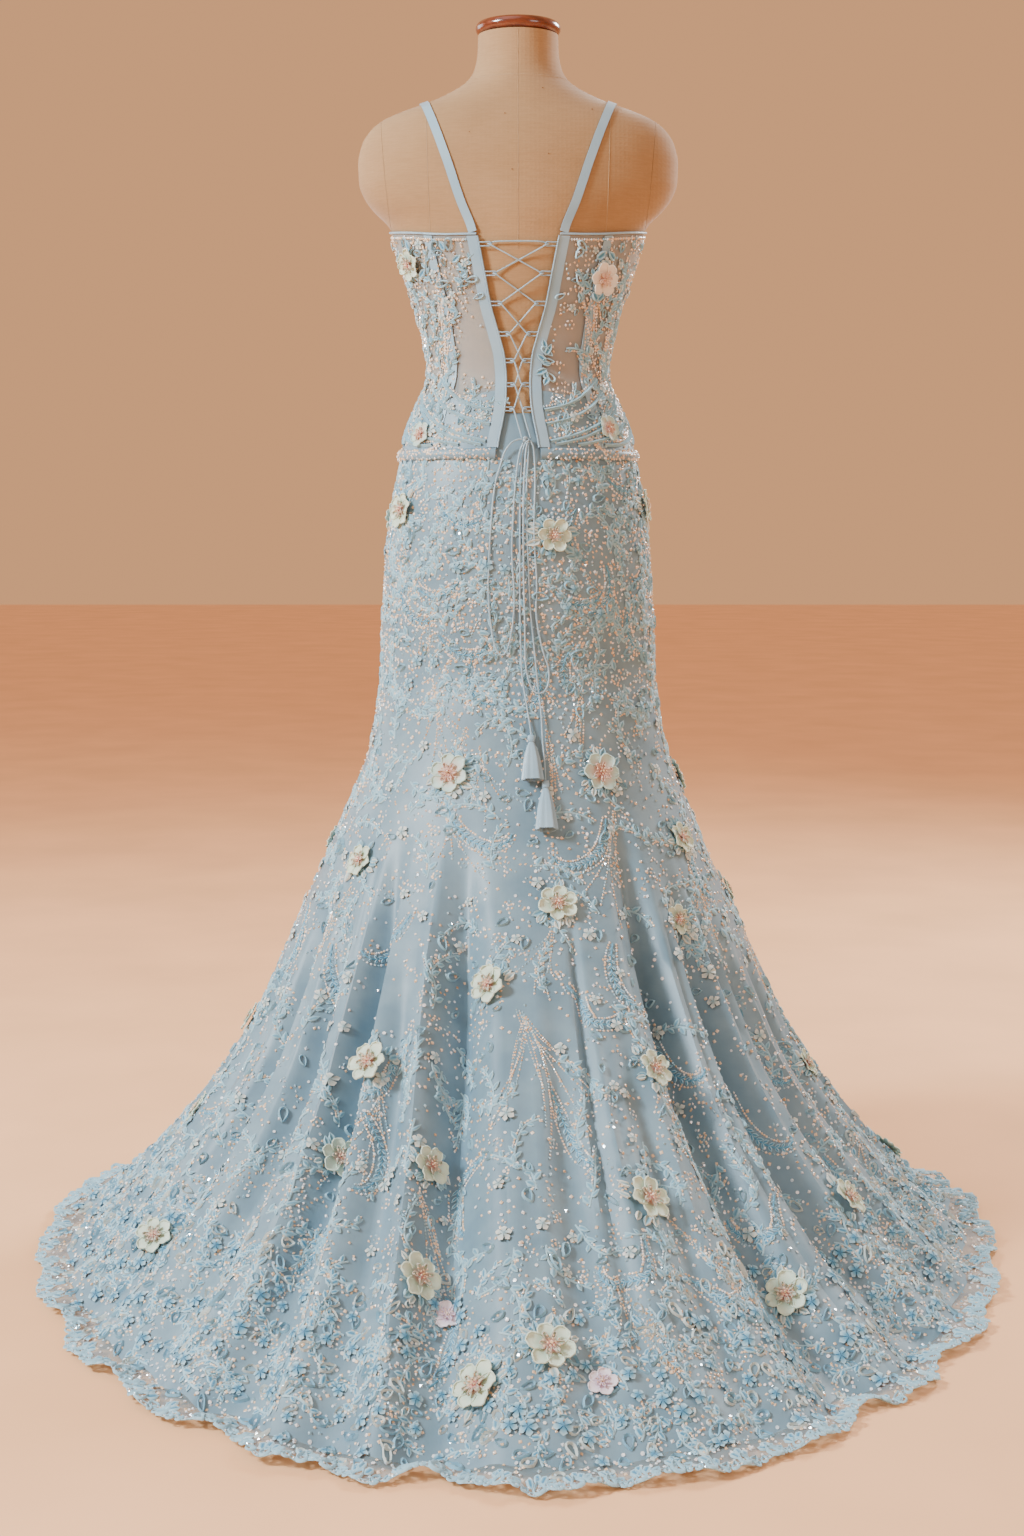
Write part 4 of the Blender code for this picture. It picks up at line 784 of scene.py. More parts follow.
def tube(line, radius, sides=8, closed=False):
    """Points and faces of a round cord along a line. The radius may be one for each point."""
    line = np.array([tuple(p) for p in line], float)
    if closed:
        along = np.roll(line, -1, axis=0) - np.roll(line, 1, axis=0)
    else:
        along = np.gradient(line, axis=0)
    along /= np.linalg.norm(along, axis=1, keepdims=True)
    side = np.cross(along[0], (0.31, 0.17, 0.93))
    frames = []
    for a in along:
        side = side - a * side.dot(a)
        side = side / np.linalg.norm(side)
        frames.append((side, np.cross(a, side)))
    sideways, deep = (np.array(way)[:, None] for way in zip(*frames))
    angle = (np.arange(sides) * 2 * math.pi / sides)[None, :, None]
    radius = np.broadcast_to(np.asarray(radius, float), len(line))[:, None, None]
    ring = sideways * np.cos(angle) + deep * np.sin(angle)
    points = (line[:, None] + ring * radius).reshape(-1, 3)
    count = len(line)
    faces = ring_faces(count, sides, closed)
    if not closed:
        faces += [tuple(reversed(range(sides))), tuple(range((count - 1) * sides, count * sides))]
    return points, faces


def cord_curve(name, route, radius, look, spacing, *replaced):
    """A free cord as a curve of one open spline along its route."""
    line = through(route, spacing)
    curve = bpy.data.curves.new(name, "CURVE")
    curve.dimensions = "3D"
    curve.bevel_depth = radius
    curve.bevel_resolution = 3
    curve.use_fill_caps = True
    spline = curve.splines.new("POLY")
    spline.points.add(len(line) - 1)
    for point, place in zip(spline.points, line):
        point.co = (*place, 1)
    made = piece(name, curve, look, "satin_cord", *replaced)
    length = sum((b - a).length for a, b in zip(line, line[1:]))
    return made, length


# ---------------------------------------------------------------- the hanging lace

BELL = Table("share radius fold", [
    # how far down the bell, its radius, and the depth of its folds as a share of that
    (0.0, 0.0016, 0), (0.03, 0.0042, 0), (0.07, 0.0050, 0), (0.12, 0.0046, 0), (0.15, 0.0034, 0),
    (0.20, 0.0042, 0.05), (0.30, 0.0062, 0.12), (0.50, 0.0090, 0.16), (0.76, 0.0114, 0.17),
    (1.0, 0.0132, 0.17),
])
BELL_WALL = 0.9 * MM


def tassel(name, head, mouth, replaced):
    """A bell of folded satin under a bound head, flattened against the skirt."""
    head, mouth = Vector(head), Vector(mouth)
    up = (head - mouth).normalized()
    side = up.cross(Vector((0, 1, 0))).normalized()
    deep = up.cross(side)
    length = (head - mouth).length
    rings, around = [], 48
    shares = np.concatenate([np.linspace(0, 0.2, 14), np.linspace(0.24, 1, 18)])
    angles = np.arange(around) * 2 * math.pi / around
    folds = 0.6 * np.cos(6 * angles) + 0.4 * np.cos(9 * angles + 1.1)
    for thickness, order in ((0, shares), (BELL_WALL, shares[:13:-1])):
        for share in order:
            radius = float(BELL("radius", share)) * (1 + float(BELL("fold", share)) * folds) - thickness
            centre = head - up * length * share
            rings.append([
                tuple(centre + side * (r * math.cos(a)) + deep * (r * 0.6 * math.sin(a)))
                for r, a in zip(radius, angles)
            ])
    last = (len(rings) - 1) * around
    faces = ring_faces(len(rings), around, flip=True)
    faces += [tuple(range(around)), tuple(reversed(range(last, last + around)))]
    band = []
    for share in (0.125, 0.14, 0.155):
        centre = head - up * length * share
        ring = [
            centre + side * (4.3 * MM * math.cos(a)) + deep * (2.7 * MM * math.sin(a)) for a in angles[::3]
        ]
        band.append(tube(ring, 0.5 * MM, 6, closed=True))
    return joined(name, [(np.array(rings), faces)] + band, "ribbon", "satin", replaced)


INTO_TASSEL = 0.3            # how far down its tassel a tail's cord runs on, unseen


def hanging_lace():
    ends = {"left": TASSEL_LEFT, "right": TASSEL_RIGHT}
    tassels = {word: tassel(f"tassel_satin_{word}", *end, f"tassel_{word}") for word, end in ends.items()}
    into = [tuple(Vector(head).lerp(Vector(mouth), INTO_TASSEL)) for head, mouth in ends.values()]
    for name, route, end in (
        ("bow_left", BOW_LEFT, "object"), ("bow_right", BOW_RIGHT, "object"),
        ("tail_left", (*TAIL_LEFT, into[0]), "fitting"), ("tail_right", (*TAIL_RIGHT, into[1]), "fitting"),
    ):
        made, length = cord_curve(f"lace_{name}", route, TAIL_RADIUS, "cord", 0.005, name)


def crossed_lace():
    """The lace that the loops hold, from the knot up and down again, and the knot itself."""
    up, down = lace_half(1), lace_half(-1)
    top = [on_back(x, LOOPS[0][0] + 3.0 * MM, LOOP_LIFT - 1.2 * MM) for x in (0.020, -0.020)]
    beside = KNOT_RADIUS + LACE_RADIUS
    ends = [Vector(KNOT) + Vector((side * beside, -1.0 * MM, 3 * MM)) for side in (1, -1)]
    line = through([ends[0]] + up + top + down[::-1] + [ends[1]], 0.002)
    joined("crossed_lace", [tube(line, LACE_RADIUS, 8)], "cord", "satin_cord", "lacing")
    centre, wraps = Vector(KNOT), []
    for tilt, radius, drop in ((0.5, 3.4, 1.2), (-0.6, 3.6, -0.4), (1.5, 3.0, 0.2), (0.1, 3.1, -1.8)):
        ring = []
        for a in np.linspace(0, 2 * math.pi, 20, endpoint=False):
            x, z = radius * math.cos(a), 0.72 * radius * math.sin(a)
            ring.append(centre + Vector((
                (x * math.cos(tilt) - z * math.sin(tilt)) * MM, 2.0 * MM * math.sin(2 * a + tilt),
                (x * math.sin(tilt) + z * math.cos(tilt) + drop) * MM,
            )))
        wraps.append(tube(ring, 1.15 * MM, 7, closed=True))
    joined("lace_bow_knot", wraps, "cord", "satin_cord", "lace_knot")


def loop_tapes():
    """Piping down each edge of the opening, with its rouleau loops."""
    for side, word in ((1, "left"), (-1, "right")):
        line = opening_line(-PIPING_RADIUS - SEAM_GAP)
        heights = np.linspace(CORSET_HEM + CORSET_HEM_HALF, float(corset_top(line(1.30))), 46)
        edge = [corset_point(line(z), z, LOOP_LIFT) * (side, 1, 1) for z in heights]
        parts = [tube(edge, PIPING_RADIUS, 8)]
        for height, length in LOOPS:
            root = float(OPENING("half_gap", height)) - PIPING_RADIUS
            tip = loop_tip(height, length)
            middle = (root + tip) / 2
            upper = [(root, LOOP_HALF_WIDTH), (middle, LOOP_HALF_WIDTH * 0.9), (tip, LOOP_HALF_WIDTH)]
            outline = list(upper)
            outline += [
                (tip - LOOP_HALF_WIDTH * math.sin(a), LOOP_HALF_WIDTH * math.cos(a))
                for a in (0.5, 1.0, 1.57, 2.14, 2.64)
            ]
            outline += [(x, -z) for x, z in reversed(upper)]
            parts.append(tube([on_back(side * x, height + z, LOOP_LIFT) for x, z in outline], LOOP_RADIUS, 7))
        joined(f"loop_piping_{word}", parts, "ribbon", "satin", f"loop_tape_{word}")


# ---------------------------------------------------------------- the dress form

ARMHOLE_MIDDLE_FROM = 1.25     # the armhole planes cut only what is above this
CANVAS_SEAMS = (
    # x at the top and the bottom, height at the top and the bottom, 1 at the back and -1 at the front
    (0.0, 0.0, 1.582, 1.30, 1), (0.118, 0.112, 1.487, 1.30, 1), (-0.118, -0.112, 1.487, 1.30, 1),
    (0.0, 0.0, 1.582, 1.32, -1), (0.112, 0.085, 1.487, 1.35, -1), (-0.112, -0.085, 1.487, 1.35, -1),
)
PINS = ((-0.031, 1.505), (0.017, 1.470), (-0.038, 1.418), (0.062, 1.446), (-0.094, 1.478), (0.008, 1.398))


def turned(name, profile, steps, look, slot, replaced):
    """A solid of revolution about +Z from its (radius, height) profile, from the top down."""
    angles = np.arange(steps) * 2 * math.pi / steps
    rings = np.array([[(r * math.cos(a), r * math.sin(a), z) for a in angles] for r, z in profile])
    last = (len(profile) - 1) * steps
    faces = [tuple(range(steps)), tuple(reversed(range(last, last + steps)))]
    return joined(name, [(rings, faces + ring_faces(len(profile), steps, flip=True))], look, slot, replaced)


def canvas_body():
    """The whole form as one mesh in the making, before the armhole planes part it."""
    turns = np.arange(0, 360, 3.0)
    heights = np.concatenate([
        np.arange(FORM_BOTTOM, 1.30, 0.016), np.arange(1.30, NECK_TOP, 0.0045), [NECK_TOP],
    ])
    grid = form_point(*np.meshgrid(turns, heights))
    rows, columns = grid.shape[:2]
    shape = bmesh.new()
    verts = [shape.verts.new(p) for p in grid.reshape(-1, 3)]
    for corners in ring_faces(rows, columns):
        shape.faces.new([verts[i] for i in corners])
    shape.faces.new(verts[:columns][::-1])
    shape.faces.new(verts[-columns:])
    return shape


def part_at_armhole(shape, side, away, keep_outer):
    (top_x, top_z), (low_x, low_z) = ARMHOLE_TOP, ARMHOLE_BOTTOM
    tilt = math.atan2(top_x - low_x, top_z - low_z)
    out = Vector((side * math.cos(tilt), 0, -math.sin(tilt)))
    place = Vector((side * (top_x + low_x) / 2, 0, (top_z + low_z) / 2)) + out * away
    high = [v for v in shape.verts if v.co.z > ARMHOLE_MIDDLE_FROM]
    inside = set(high)
    edges = [e for e in shape.edges if set(e.verts) <= inside]
    faces = [f for f in shape.faces if set(f.verts) <= inside]
    cut = bmesh.ops.bisect_plane(
        shape, geom=high + edges + faces, plane_co=place, plane_no=out, clear_outer=not keep_outer,
        clear_inner=False,
    )
    rim = [e for e in cut["geom_cut"] if isinstance(e, bmesh.types.BMEdge)]
    if keep_outer:
        inner = [v for v in shape.verts if (v.co - place).dot(out) < -1e-6]
        bmesh.ops.delete(shape, geom=inner, context="VERTS")
        low = [v for v in shape.verts if v.co.z < ARMHOLE_MIDDLE_FROM]
        bmesh.ops.delete(shape, geom=low, context="VERTS")
        rim = [e for e in shape.edges if e.is_boundary]
    bmesh.ops.edgeloop_fill(shape, edges=rim)


def canvas_piece(name, shape, slot, replaced):
    bmesh.ops.recalc_face_normals(shape, faces=shape.faces)
    mesh = bpy.data.meshes.new(name)
    shape.to_mesh(mesh)
    shape.free()
    mesh.shade_smooth()
    mesh.set_sharp_from_angle(angle=math.radians(38))
    return piece(name, mesh, "canvas", slot, replaced)


def dress_form():
    torso = canvas_body()
    for side in (1, -1):
        part_at_armhole(torso, side, 0, False)
    canvas_piece("canvas_torso", torso, "canvas", "form_torso")
    for side, word in ((1, "left"), (-1, "right")):
        cap = canvas_body()
        part_at_armhole(cap, side, SEAM_GAP, True)
        canvas_piece(f"canvas_shoulder_{word}", cap, "canvas", f"form_shoulder_{word}")
    lines = []
    for top_x, low_x, top, low, facing in CANVAS_SEAMS:
        line = []
        for height in np.linspace(top, low, 60):
            x = low_x + (top_x - low_x) * (height - low) / (top - low)
            turn = math.degrees(math.asin(min(1, abs(x) / BODY("half_width", height))))
            turn = turn if x >= 0 else -turn
            line.append(form_point(turn if facing > 0 else 180 - turn, height))
        lines.append(tube(line, 0.45 * MM, 5))
    ring = [form_point(turn, 1.523) for turn in range(0, 360, 5)]
    lines.append(tube(ring, 0.5 * MM, 5, closed=True))
    joined("canvas_seams", lines, "canvas_seam", "canvas")
    heads = []
    for x, height in PINS:
        place = form_point(turn_of(x, height), height)
        heads.append(tube([place, place + (0, 1.2 * MM, 0)], 0.6 * MM, 5))
    joined("pins", heads, "wood", "canvas")
    low, high = NECK_TOP + SEAM_GAP, NECK_TOP + SEAM_GAP + CAP_HEIGHT
    half, middle = CAP_HEIGHT / 2, (low + high) / 2
    bulge = [
        (CAP_RADIUS - half + half * math.cos(a), middle + half * math.sin(a))
        for a in np.radians(np.linspace(90, -90, 14))
    ]
    cap = [(0.0001, high), (0.03, high + 0.5 * MM), *bulge, (0.0001, low)]
    turned("turned_neck_cap", cap, 72, "wood", "wood", "form_neck_cap")
    hub_top = FOOT_THICKNESS + HUB_HEIGHT
    turned("stand_foot", [
        (0.0001, hub_top), (HUB_RADIUS * 0.8, hub_top), (HUB_RADIUS, hub_top - 0.006),
        (HUB_RADIUS * 1.15, 0.026), (FOOT_RADIUS * 0.5, 0.018), (FOOT_RADIUS, 0.008),
        (FOOT_RADIUS, 0), (0.0001, 0),
    ], 64, "steel", "steel", "form_foot")
    turned("stand_pole", [
        (0.0001, FORM_BOTTOM - SEAM_GAP), (POLE_RADIUS, FORM_BOTTOM - SEAM_GAP),
        (POLE_RADIUS, hub_top + SEAM_GAP), (0.0001, hub_top + SEAM_GAP),
    ], 32, "steel", "steel", "form_pole")


# ---------------------------------------------------------------- cloth as a grid that motifs are laid on

class Cloth:
    """A surface of (turn, height), kept as a fine grid, with the scale and slant of its columns."""

    def __init__(self, surface, turns, heights):
        self.turns, self.heights = turns, heights
        self.points = surface(*np.meshgrid(turns, heights, indexing="ij"))
        around = np.gradient(self.points, turns, axis=0)
        up = np.gradient(self.points, heights, axis=1)
        out = np.cross(up, around)
        self.out = out / np.linalg.norm(out, axis=-1, keepdims=True)
        self.across = np.linalg.norm(around, axis=-1)
        level = around / self.across[..., None]
        self.slant = (up * level).sum(axis=-1)
        self.rise = (up * np.cross(level, self.out)).sum(axis=-1)

    def read(self, grid, turn, height):
        """A grid's values at any turns and heights."""
        span = self.turns[-1] - self.turns[0]
        if span > 359:
            turn = (turn - self.turns[0]) % 360 + self.turns[0]
        i, j = (
            np.clip((at - marks[0]) / (marks[1] - marks[0]), 0, len(marks) - 1.001)
            for at, marks in ((turn, self.turns), (height, self.heights))
        )
        i0, j0 = i.astype(int), j.astype(int)
        a, b = i - i0, j - j0
        if grid.ndim == 3:
            a, b = a[..., None], b[..., None]
        return (
            grid[i0, j0] * (1 - a) * (1 - b) + grid[i0 + 1, j0] * a * (1 - b)
            + grid[i0, j0 + 1] * (1 - a) * b + grid[i0 + 1, j0 + 1] * a * b
        )

    def moved(self, turn, height, x, y):
        """The place that is x metres round and y metres up the cloth from another."""
        rise = self.read(self.rise, turn, height)
        up = y / rise
        round_by = (x - up * self.read(self.slant, turn, height)) / self.read(self.across, turn, height)
        return turn + round_by, height + up

    def lay(self, turn, height, lift):
        out = self.read(self.out, turn, height)
        return self.read(self.points, turn, height) + out * np.asarray(lift)[..., None]


def stamp(cloth, seeds, motif, lift=0.0):
    """Copies of a small motif laid on the cloth. Seeds are rows of turn, height, angle, width and length."""
    shape, faces = motif[:2]
    turn, height, angle, width, length = (seeds[:, i, None] for i in range(5))
    x, y = shape[None, :, 0] * width, shape[None, :, 1] * length
    c, s = np.cos(angle), np.sin(angle)
    at_turn, at_height = cloth.moved(turn, height, x * c - y * s, x * s + y * c)
    points = cloth.lay(at_turn, at_height, shape[None, :, 2] * width + lift)
    all_faces = faces[None] + (np.arange(len(seeds)) * len(shape))[:, None, None]
    return points.reshape(-1, 3), all_faces.reshape(-1, faces.shape[1])


def stamped(name, cloth, look, *layers):
    """One piece of lace from layers of (seeds, motif, lift), tinted by the motifs' own reach."""
    reach = [np.tile(motif[2], len(seeds)) for seeds, motif, *_ in layers]
    joined(name, [stamp(cloth, *layer) for layer in layers], look, "lace", reach=np.concatenate(reach))


def spread(cloth, spacing, low, high, chance, turns=(-180, 180), sway=0.42):
    """Places about that far apart all over some of the cloth, thinned by a chance from 0 to 1."""
    found, height = [], low
    while height < high:
        along = np.arange(turns[0], turns[1], 0.25)
        steps = cloth.read(cloth.across, along, np.full(len(along), height)) * 0.25
        run = np.concatenate([[0], np.cumsum(steps)[:-1]])
        marks = np.arange(RNG.uniform(0, spacing), run[-1], spacing)
        marks = marks + RNG.uniform(-sway, sway, len(marks)) * spacing
        turn = np.interp(marks, run, along)
        rise = float(np.median(cloth.read(cloth.rise, along, np.full(len(along), height))))
        heights = height + RNG.uniform(-sway, sway, len(marks)) * spacing / rise
        found.append(np.stack([turn, heights], axis=-1))
        height += spacing / rise
    found = np.concatenate(found)
    found = found[(found[:, 1] > low) & (found[:, 1] < high)]
    return found[RNG.random(len(found)) < chance(found[:, 0], found[:, 1])]


def seeds_from(places, angle, width, length=None):
    """Rows for stamp(): each value one for all or one for each place."""
    columns = (angle, width, width if length is None else length)
    return np.column_stack([places, *(np.broadcast_to(np.asarray(v, float), len(places)) for v in columns)])


# ---------------------------------------------------------------- small motifs, about 1 across
# Each is its points and faces, and the corded ones have each point's reach, from 0 at a heart to 1 at a rim.

def bead_motif():
    """A bead as the four slopes of a low point, with no underside."""
    points = [(0.5, 0, 0.06), (0, 0.5, 0.06), (-0.5, 0, 0.06), (0, -0.5, 0.06), (0, 0, 0.52)]
    return np.array(points), np.array([(0, 1, 4), (1, 2, 4), (2, 3, 4), (3, 0, 4)])


def sequin_motif():
    """A tilted flat disc."""
    angles = np.radians(range(0, 360, 60))
    points = np.column_stack([0.5 * np.cos(angles), 0.5 * np.sin(angles), 0.12 + 0.1 * np.cos(angles + 0.6)])
    return points, np.array([(0, i, i + 1) for i in range(1, 5)])


def leaf_motif():
    """A pointed leaf from its stalk at the origin: a corded rim round a hollow middle."""
    points, reach = [(0, 0, 0.10)], [1.0]
    for y, half in ((0.26, 0.42), (0.64, 0.44)):
        for x, z, rim in (
            (-1, 0.02, 0.8), (-0.72, 0.30, 1.0), (0, 0.12, 0.0), (0.72, 0.30, 1.0), (1, 0.02, 0.8),
        ):
            points.append((half * x, y - 0.04 * x * x, z))
            reach.append(rim)
    points.append((0, 1, 0.16))
    reach.append(1.0)
    faces = [(0, k + 1, k) for k in range(1, 5)]
    for k in range(1, 5):
        faces += [(k, k + 1, k + 6), (k, k + 6, k + 5)]
    faces += [(k, k + 1, 11) for k in range(6, 10)]
    return np.array(points, float), np.array(faces), np.array(reach)


def loop_motif(reach, steps=11):
    """A teardrop of cord, its point at the origin, as a ridge with no underside."""
    angles = np.linspace(0, 2 * math.pi, steps, endpoint=False) + math.pi / steps
    across = 0.42 * np.sin(angles) * np.abs(np.sin(angles / 2)) ** 0.8
    line = np.stack([across, 0.5 - 0.5 * np.cos(angles)], axis=-1)
    out = line - line.mean(axis=0)
    out /= np.linalg.norm(out, axis=-1, keepdims=True)
    rings = [
        np.column_stack([line + out * aside, np.full(steps, rise)])
        for aside, rise in ((-0.095, 0.02), (0, 0.24), (0.095, 0.02))
    ]
    return np.concatenate(rings), np.array(ring_faces(3, steps)), np.full(3 * steps, reach)


def rosette_motif(petals=5):
    """A little flower of flat petals round a raised middle."""
    points, faces, longest = [(0, 0, 0.26)], [], 0.54
    for k in range(petals):
        for beside, reach, rise in (
            (-0.5, 0.16, 0.12), (-0.36, 0.44, 0.20), (0, longest, 0.12), (0.36, 0.44, 0.20),
        ):
            angle = 2 * math.pi * (k + beside) / petals
            points.append((reach * math.sin(angle), reach * math.cos(angle), rise))
        at, after = 1 + 4 * k, 1 + 4 * ((k + 1) % petals)
        faces += [(0, at + 1, at), (0, at + 2, at + 1), (0, at + 3, at + 2), (0, after, at + 3)]
    points = np.array(points)
    return points, np.array(faces), np.hypot(points[:, 0], points[:, 1]) / longest


BEAD, SEQUIN, LEAF, ROSETTE = bead_motif(), sequin_motif(), leaf_motif(), rosette_motif()
DULL_LOOP, LOOP, BRIGHT_LOOP, RIM_LOOP = (loop_motif(reach) for reach in (0.6, 0.7, 0.8, 0.9))


def grown(cloth, starts, length, curl, step=4.2 * MM):
    """Vines as lines of (turn, height) places: each starts at a place and heading and turns as it grows."""
    turn, height, heading = (np.array(starts, float)[:, i] for i in range(3))
    steps = int(length / step)
    side = np.where(RNG.random(len(turn)) < 0.5, -1.0, 1.0)
    lines, headings = [], []
    for n in range(steps + 1):
        lines.append(np.stack([turn, height], axis=-1))
        headings.append(heading.copy())
        share = n / steps
        bend = side * (curl[0] * math.sin(share * 5.0) + curl[1] * share ** 3)
        heading = heading + bend * step
        turn, height = cloth.moved(turn, height, -np.sin(heading) * step, np.cos(heading) * step)
    return np.stack(lines, axis=1), np.stack(headings, axis=1)


def ribbons(cloth, lines, radius):
    """Thin cords laid on the cloth along many lines of places at once, as ridges with no underside."""
    centre = cloth.lay(lines[..., 0], lines[..., 1], np.zeros(lines.shape[:2]))
    out = cloth.read(cloth.out, lines[..., 0], lines[..., 1])
    along = np.gradient(centre, axis=1)
    across = np.cross(along, out)
    across /= np.linalg.norm(across, axis=-1, keepdims=True)
    section = ((-1, 0.1), (0, 1.5), (1, 0.1))        # aside and up, in radii
    points = np.stack([centre + across * radius * aside + out * radius * up for aside, up in section], axis=2)
    count, length = lines.shape[:2]
    starts = [n + k for k in range(2) for n in range(0, (length - 1) * 3, 3)]
    faces = np.array([(n, n + 1, n + 4, n + 3) for n in starts])
    faces = faces[None] + (np.arange(count) * length * 3)[:, None, None]
    return points.reshape(-1, 3), faces.reshape(-1, 4)


# ---------------------------------------------------------------- the corset

NET_ROWS = 70                 # up a panel
STRIP_TOP = 1.345             # the last height at which a panel's lines are read
ROLL_ROWS, ROLL_STEPS = 11, 240
TOP_PIPING_RADIUS, TOP_PIPING_LIFT = 1.5 * MM, 1.4 * MM
PIPING_TURN_HEIGHT = 1.316    # the opening's edge there is where the piping starts and ends


def strip_grid(first, last, columns, lift):
    """A grid over the corset between two lines, from the hem band up to the top edge."""
    rows, bottom = NET_ROWS, CORSET_HEM + CORSET_HEM_HALF + SEAM_GAP
    grid = np.empty((rows, columns, 3))
    for c, share in enumerate(np.linspace(0, 1, columns)):
        heights = np.linspace(bottom, STRIP_TOP, rows)
        turns = np.array([first(z) + (last(z) - first(z)) * share for z in heights])
        wanted = np.linspace(float(corset_top(turns[-1])), bottom, rows)
        grid[:, c] = corset_point(np.interp(wanted, heights, turns), wanted, lift)
    return grid


def panel(name, grid, look, slot, thickness=0.0, *replaced):
    """A sheer panel as one layer, or an opaque strip as a shell of that thickness."""
    if not thickness:
        return joined(name, [(grid.reshape(-1, 3), grid_faces(*grid.shape[:2]))], look, slot, *replaced)
    out = np.cross(np.gradient(grid, axis=0), np.gradient(grid, axis=1))
    out /= np.linalg.norm(out, axis=-1, keepdims=True)
    middle = grid[grid.shape[0] // 2, grid.shape[1] // 2]
    if out[grid.shape[0] // 2, grid.shape[1] // 2, :2].dot(middle[:2]) < 0:
        out = -out
    return joined(name, [shell(grid + out * thickness, grid)], look, slot, *replaced)


def net_panel(name, grid, replaced):
    made = panel(name, grid, "net", "net", 0.0, replaced)


def corset():
    lines, back_seam, front_seam = corset_lines()
    for side, word in ((1, "left"), (-1, "right")):
        for name, first, last, columns in (("back", 0, back_seam, 26), ("side", back_seam, front_seam, 54)):
            grid = strip_grid(lines[first], lines[last], columns, CORSET_WALL / 2) * (side, 1, 1)
            net_panel(f"net_{name}_{word}", grid, f"corset_{name}_{word}")
        for name, first, last, thickness, columns, under in (
            ("placket", 0, 1, PLACKET_WALL, 6, "back"),
            ("casing_back", back_seam - 1, back_seam + 1, CASING_WALL, 8, "back"),
            ("casing_front", front_seam - 1, front_seam + 1, CASING_WALL, 8, "side"),
        ):
            grid = strip_grid(lines[first], lines[last], columns, CORSET_WALL + STRIP_GAP) * (side, 1, 1)
            made = panel(f"satin_{name}_{word}", grid, "ribbon", "satin", thickness, f"{name}_{word}")
    half = strip_grid(lines[front_seam], lines[-1], 30, CORSET_WALL / 2)
    net_panel("net_front", np.concatenate([half, half[:, -2::-1] * (-1, 1, 1)], axis=1), "corset_front")
    edge = opening_turns(CORSET_HEM)
    turns = np.linspace(edge, 360 - edge, ROLL_STEPS)
    heights = CORSET_HEM + CORSET_HEM_HALF * np.sin(np.radians(np.linspace(90, -90, ROLL_ROWS)))
    roll = np.array([corset_point(turns, height, float(band_lift(height))) for height in heights])
    heights = CORSET_HEM + CORSET_HEM_HALF * np.linspace(1, -1, ROLL_ROWS)
    back = np.array([corset_point(turns, height, 0.1 * MM) for height in heights])
    joined("rolled_hem", [shell(roll, back)], "satin", "lace", "corset_hem_band")
    edge = opening_turns(PIPING_TURN_HEIGHT)
    turns = np.linspace(edge, 360 - edge, ROLL_STEPS)
    line = corset_point(turns, corset_top(turns) + BINDING_HALF + SEAM_GAP, TOP_PIPING_LIFT)
    joined("top_piping", [tube(line, TOP_PIPING_RADIUS, 8)], "ribbon", "satin", "corset_top_binding")


LOWER_TOP = 1.112              # of the lower satin, where it is lowest
LOWER_RISE = 0.012             # about how far that top rises at the back, the sides and the front
LOWER_LIFT = CORSET_WALL + 0.35 * MM


def lower_corset():
    """The satin under the lower part of the corset, which is not sheer."""
    edge, rows = opening_line(0.0), []
    for height in np.linspace(CORSET_HEM, LOWER_TOP, 12)[::-1]:
        turns = np.linspace(edge(height), 360 - edge(height), 200)
        top = height + LOWER_RISE * np.cos(np.radians(turns) * 2) ** 2 * (height - CORSET_HEM) / 0.07
        rows.append(corset_point(turns, top, LOWER_LIFT))
    grid = np.array(rows)
    made = panel("lower_corset_satin", grid, "satin", "satin")


STRAP_ENDS = (0.0597, 0.1125, 1.3192), (0.1075, -0.126, 1.3715)   # sewn to the top piping, back and front
STRAP_RISE = np.array((2.2, 1.6, 0.9, 0.3)) * MM                  # of a ribbon's last rows, over the piping
RAY_START = 0.05                                                  # how far off the form a ray starts


def straps(torso_surface):
    """Flat satin ribbons over the shoulders, lying on the form."""
    for side, word in ((1, "left"), (-1, "right")):
        route = [STRAP_ENDS[0], *STRAP_ROUTE, STRAP_ENDS[1]]
        line = through([(side * x, y, z) for x, y, z in route], 0.006)
        rows = []
        for i, place in enumerate(line):
            along = (line[min(i + 1, len(line) - 1)] - line[max(i - 1, 0)]).normalized()
            outward = torso_surface.find_nearest(place)[1]
            across = along.cross(outward).normalized() * STRAP_WIDTH / 2
            row = []
            for share in (-1, -0.5, 0, 0.5, 1):
                start = place + across * share + outward * RAY_START
                hit = torso_surface.ray_cast(start, -outward)[0]
                row.append(tuple((hit or start - outward * RAY_START) + outward * STRAP_CLEAR))
            rows.append(row)
        grid = np.array(rows)
        for _ in range(3):
            grid[1:-1] = (grid[:-2] + grid[2:] + 2 * grid[1:-1]) / 4
        lift = np.zeros(len(grid))
        lift[:4], lift[-4:] = STRAP_RISE, STRAP_RISE[::-1]
        out = grid[:, 2] * (1, 1, 0)
        out /= np.linalg.norm(out, axis=-1, keepdims=True)
        grid = grid + (out * lift[:, None])[:, None]
        made = panel(f"ribbon_strap_{word}", grid, "ribbon", "satin", STRAP_WALL, f"strap_{word}")


# ---------------------------------------------------------------- the skirt

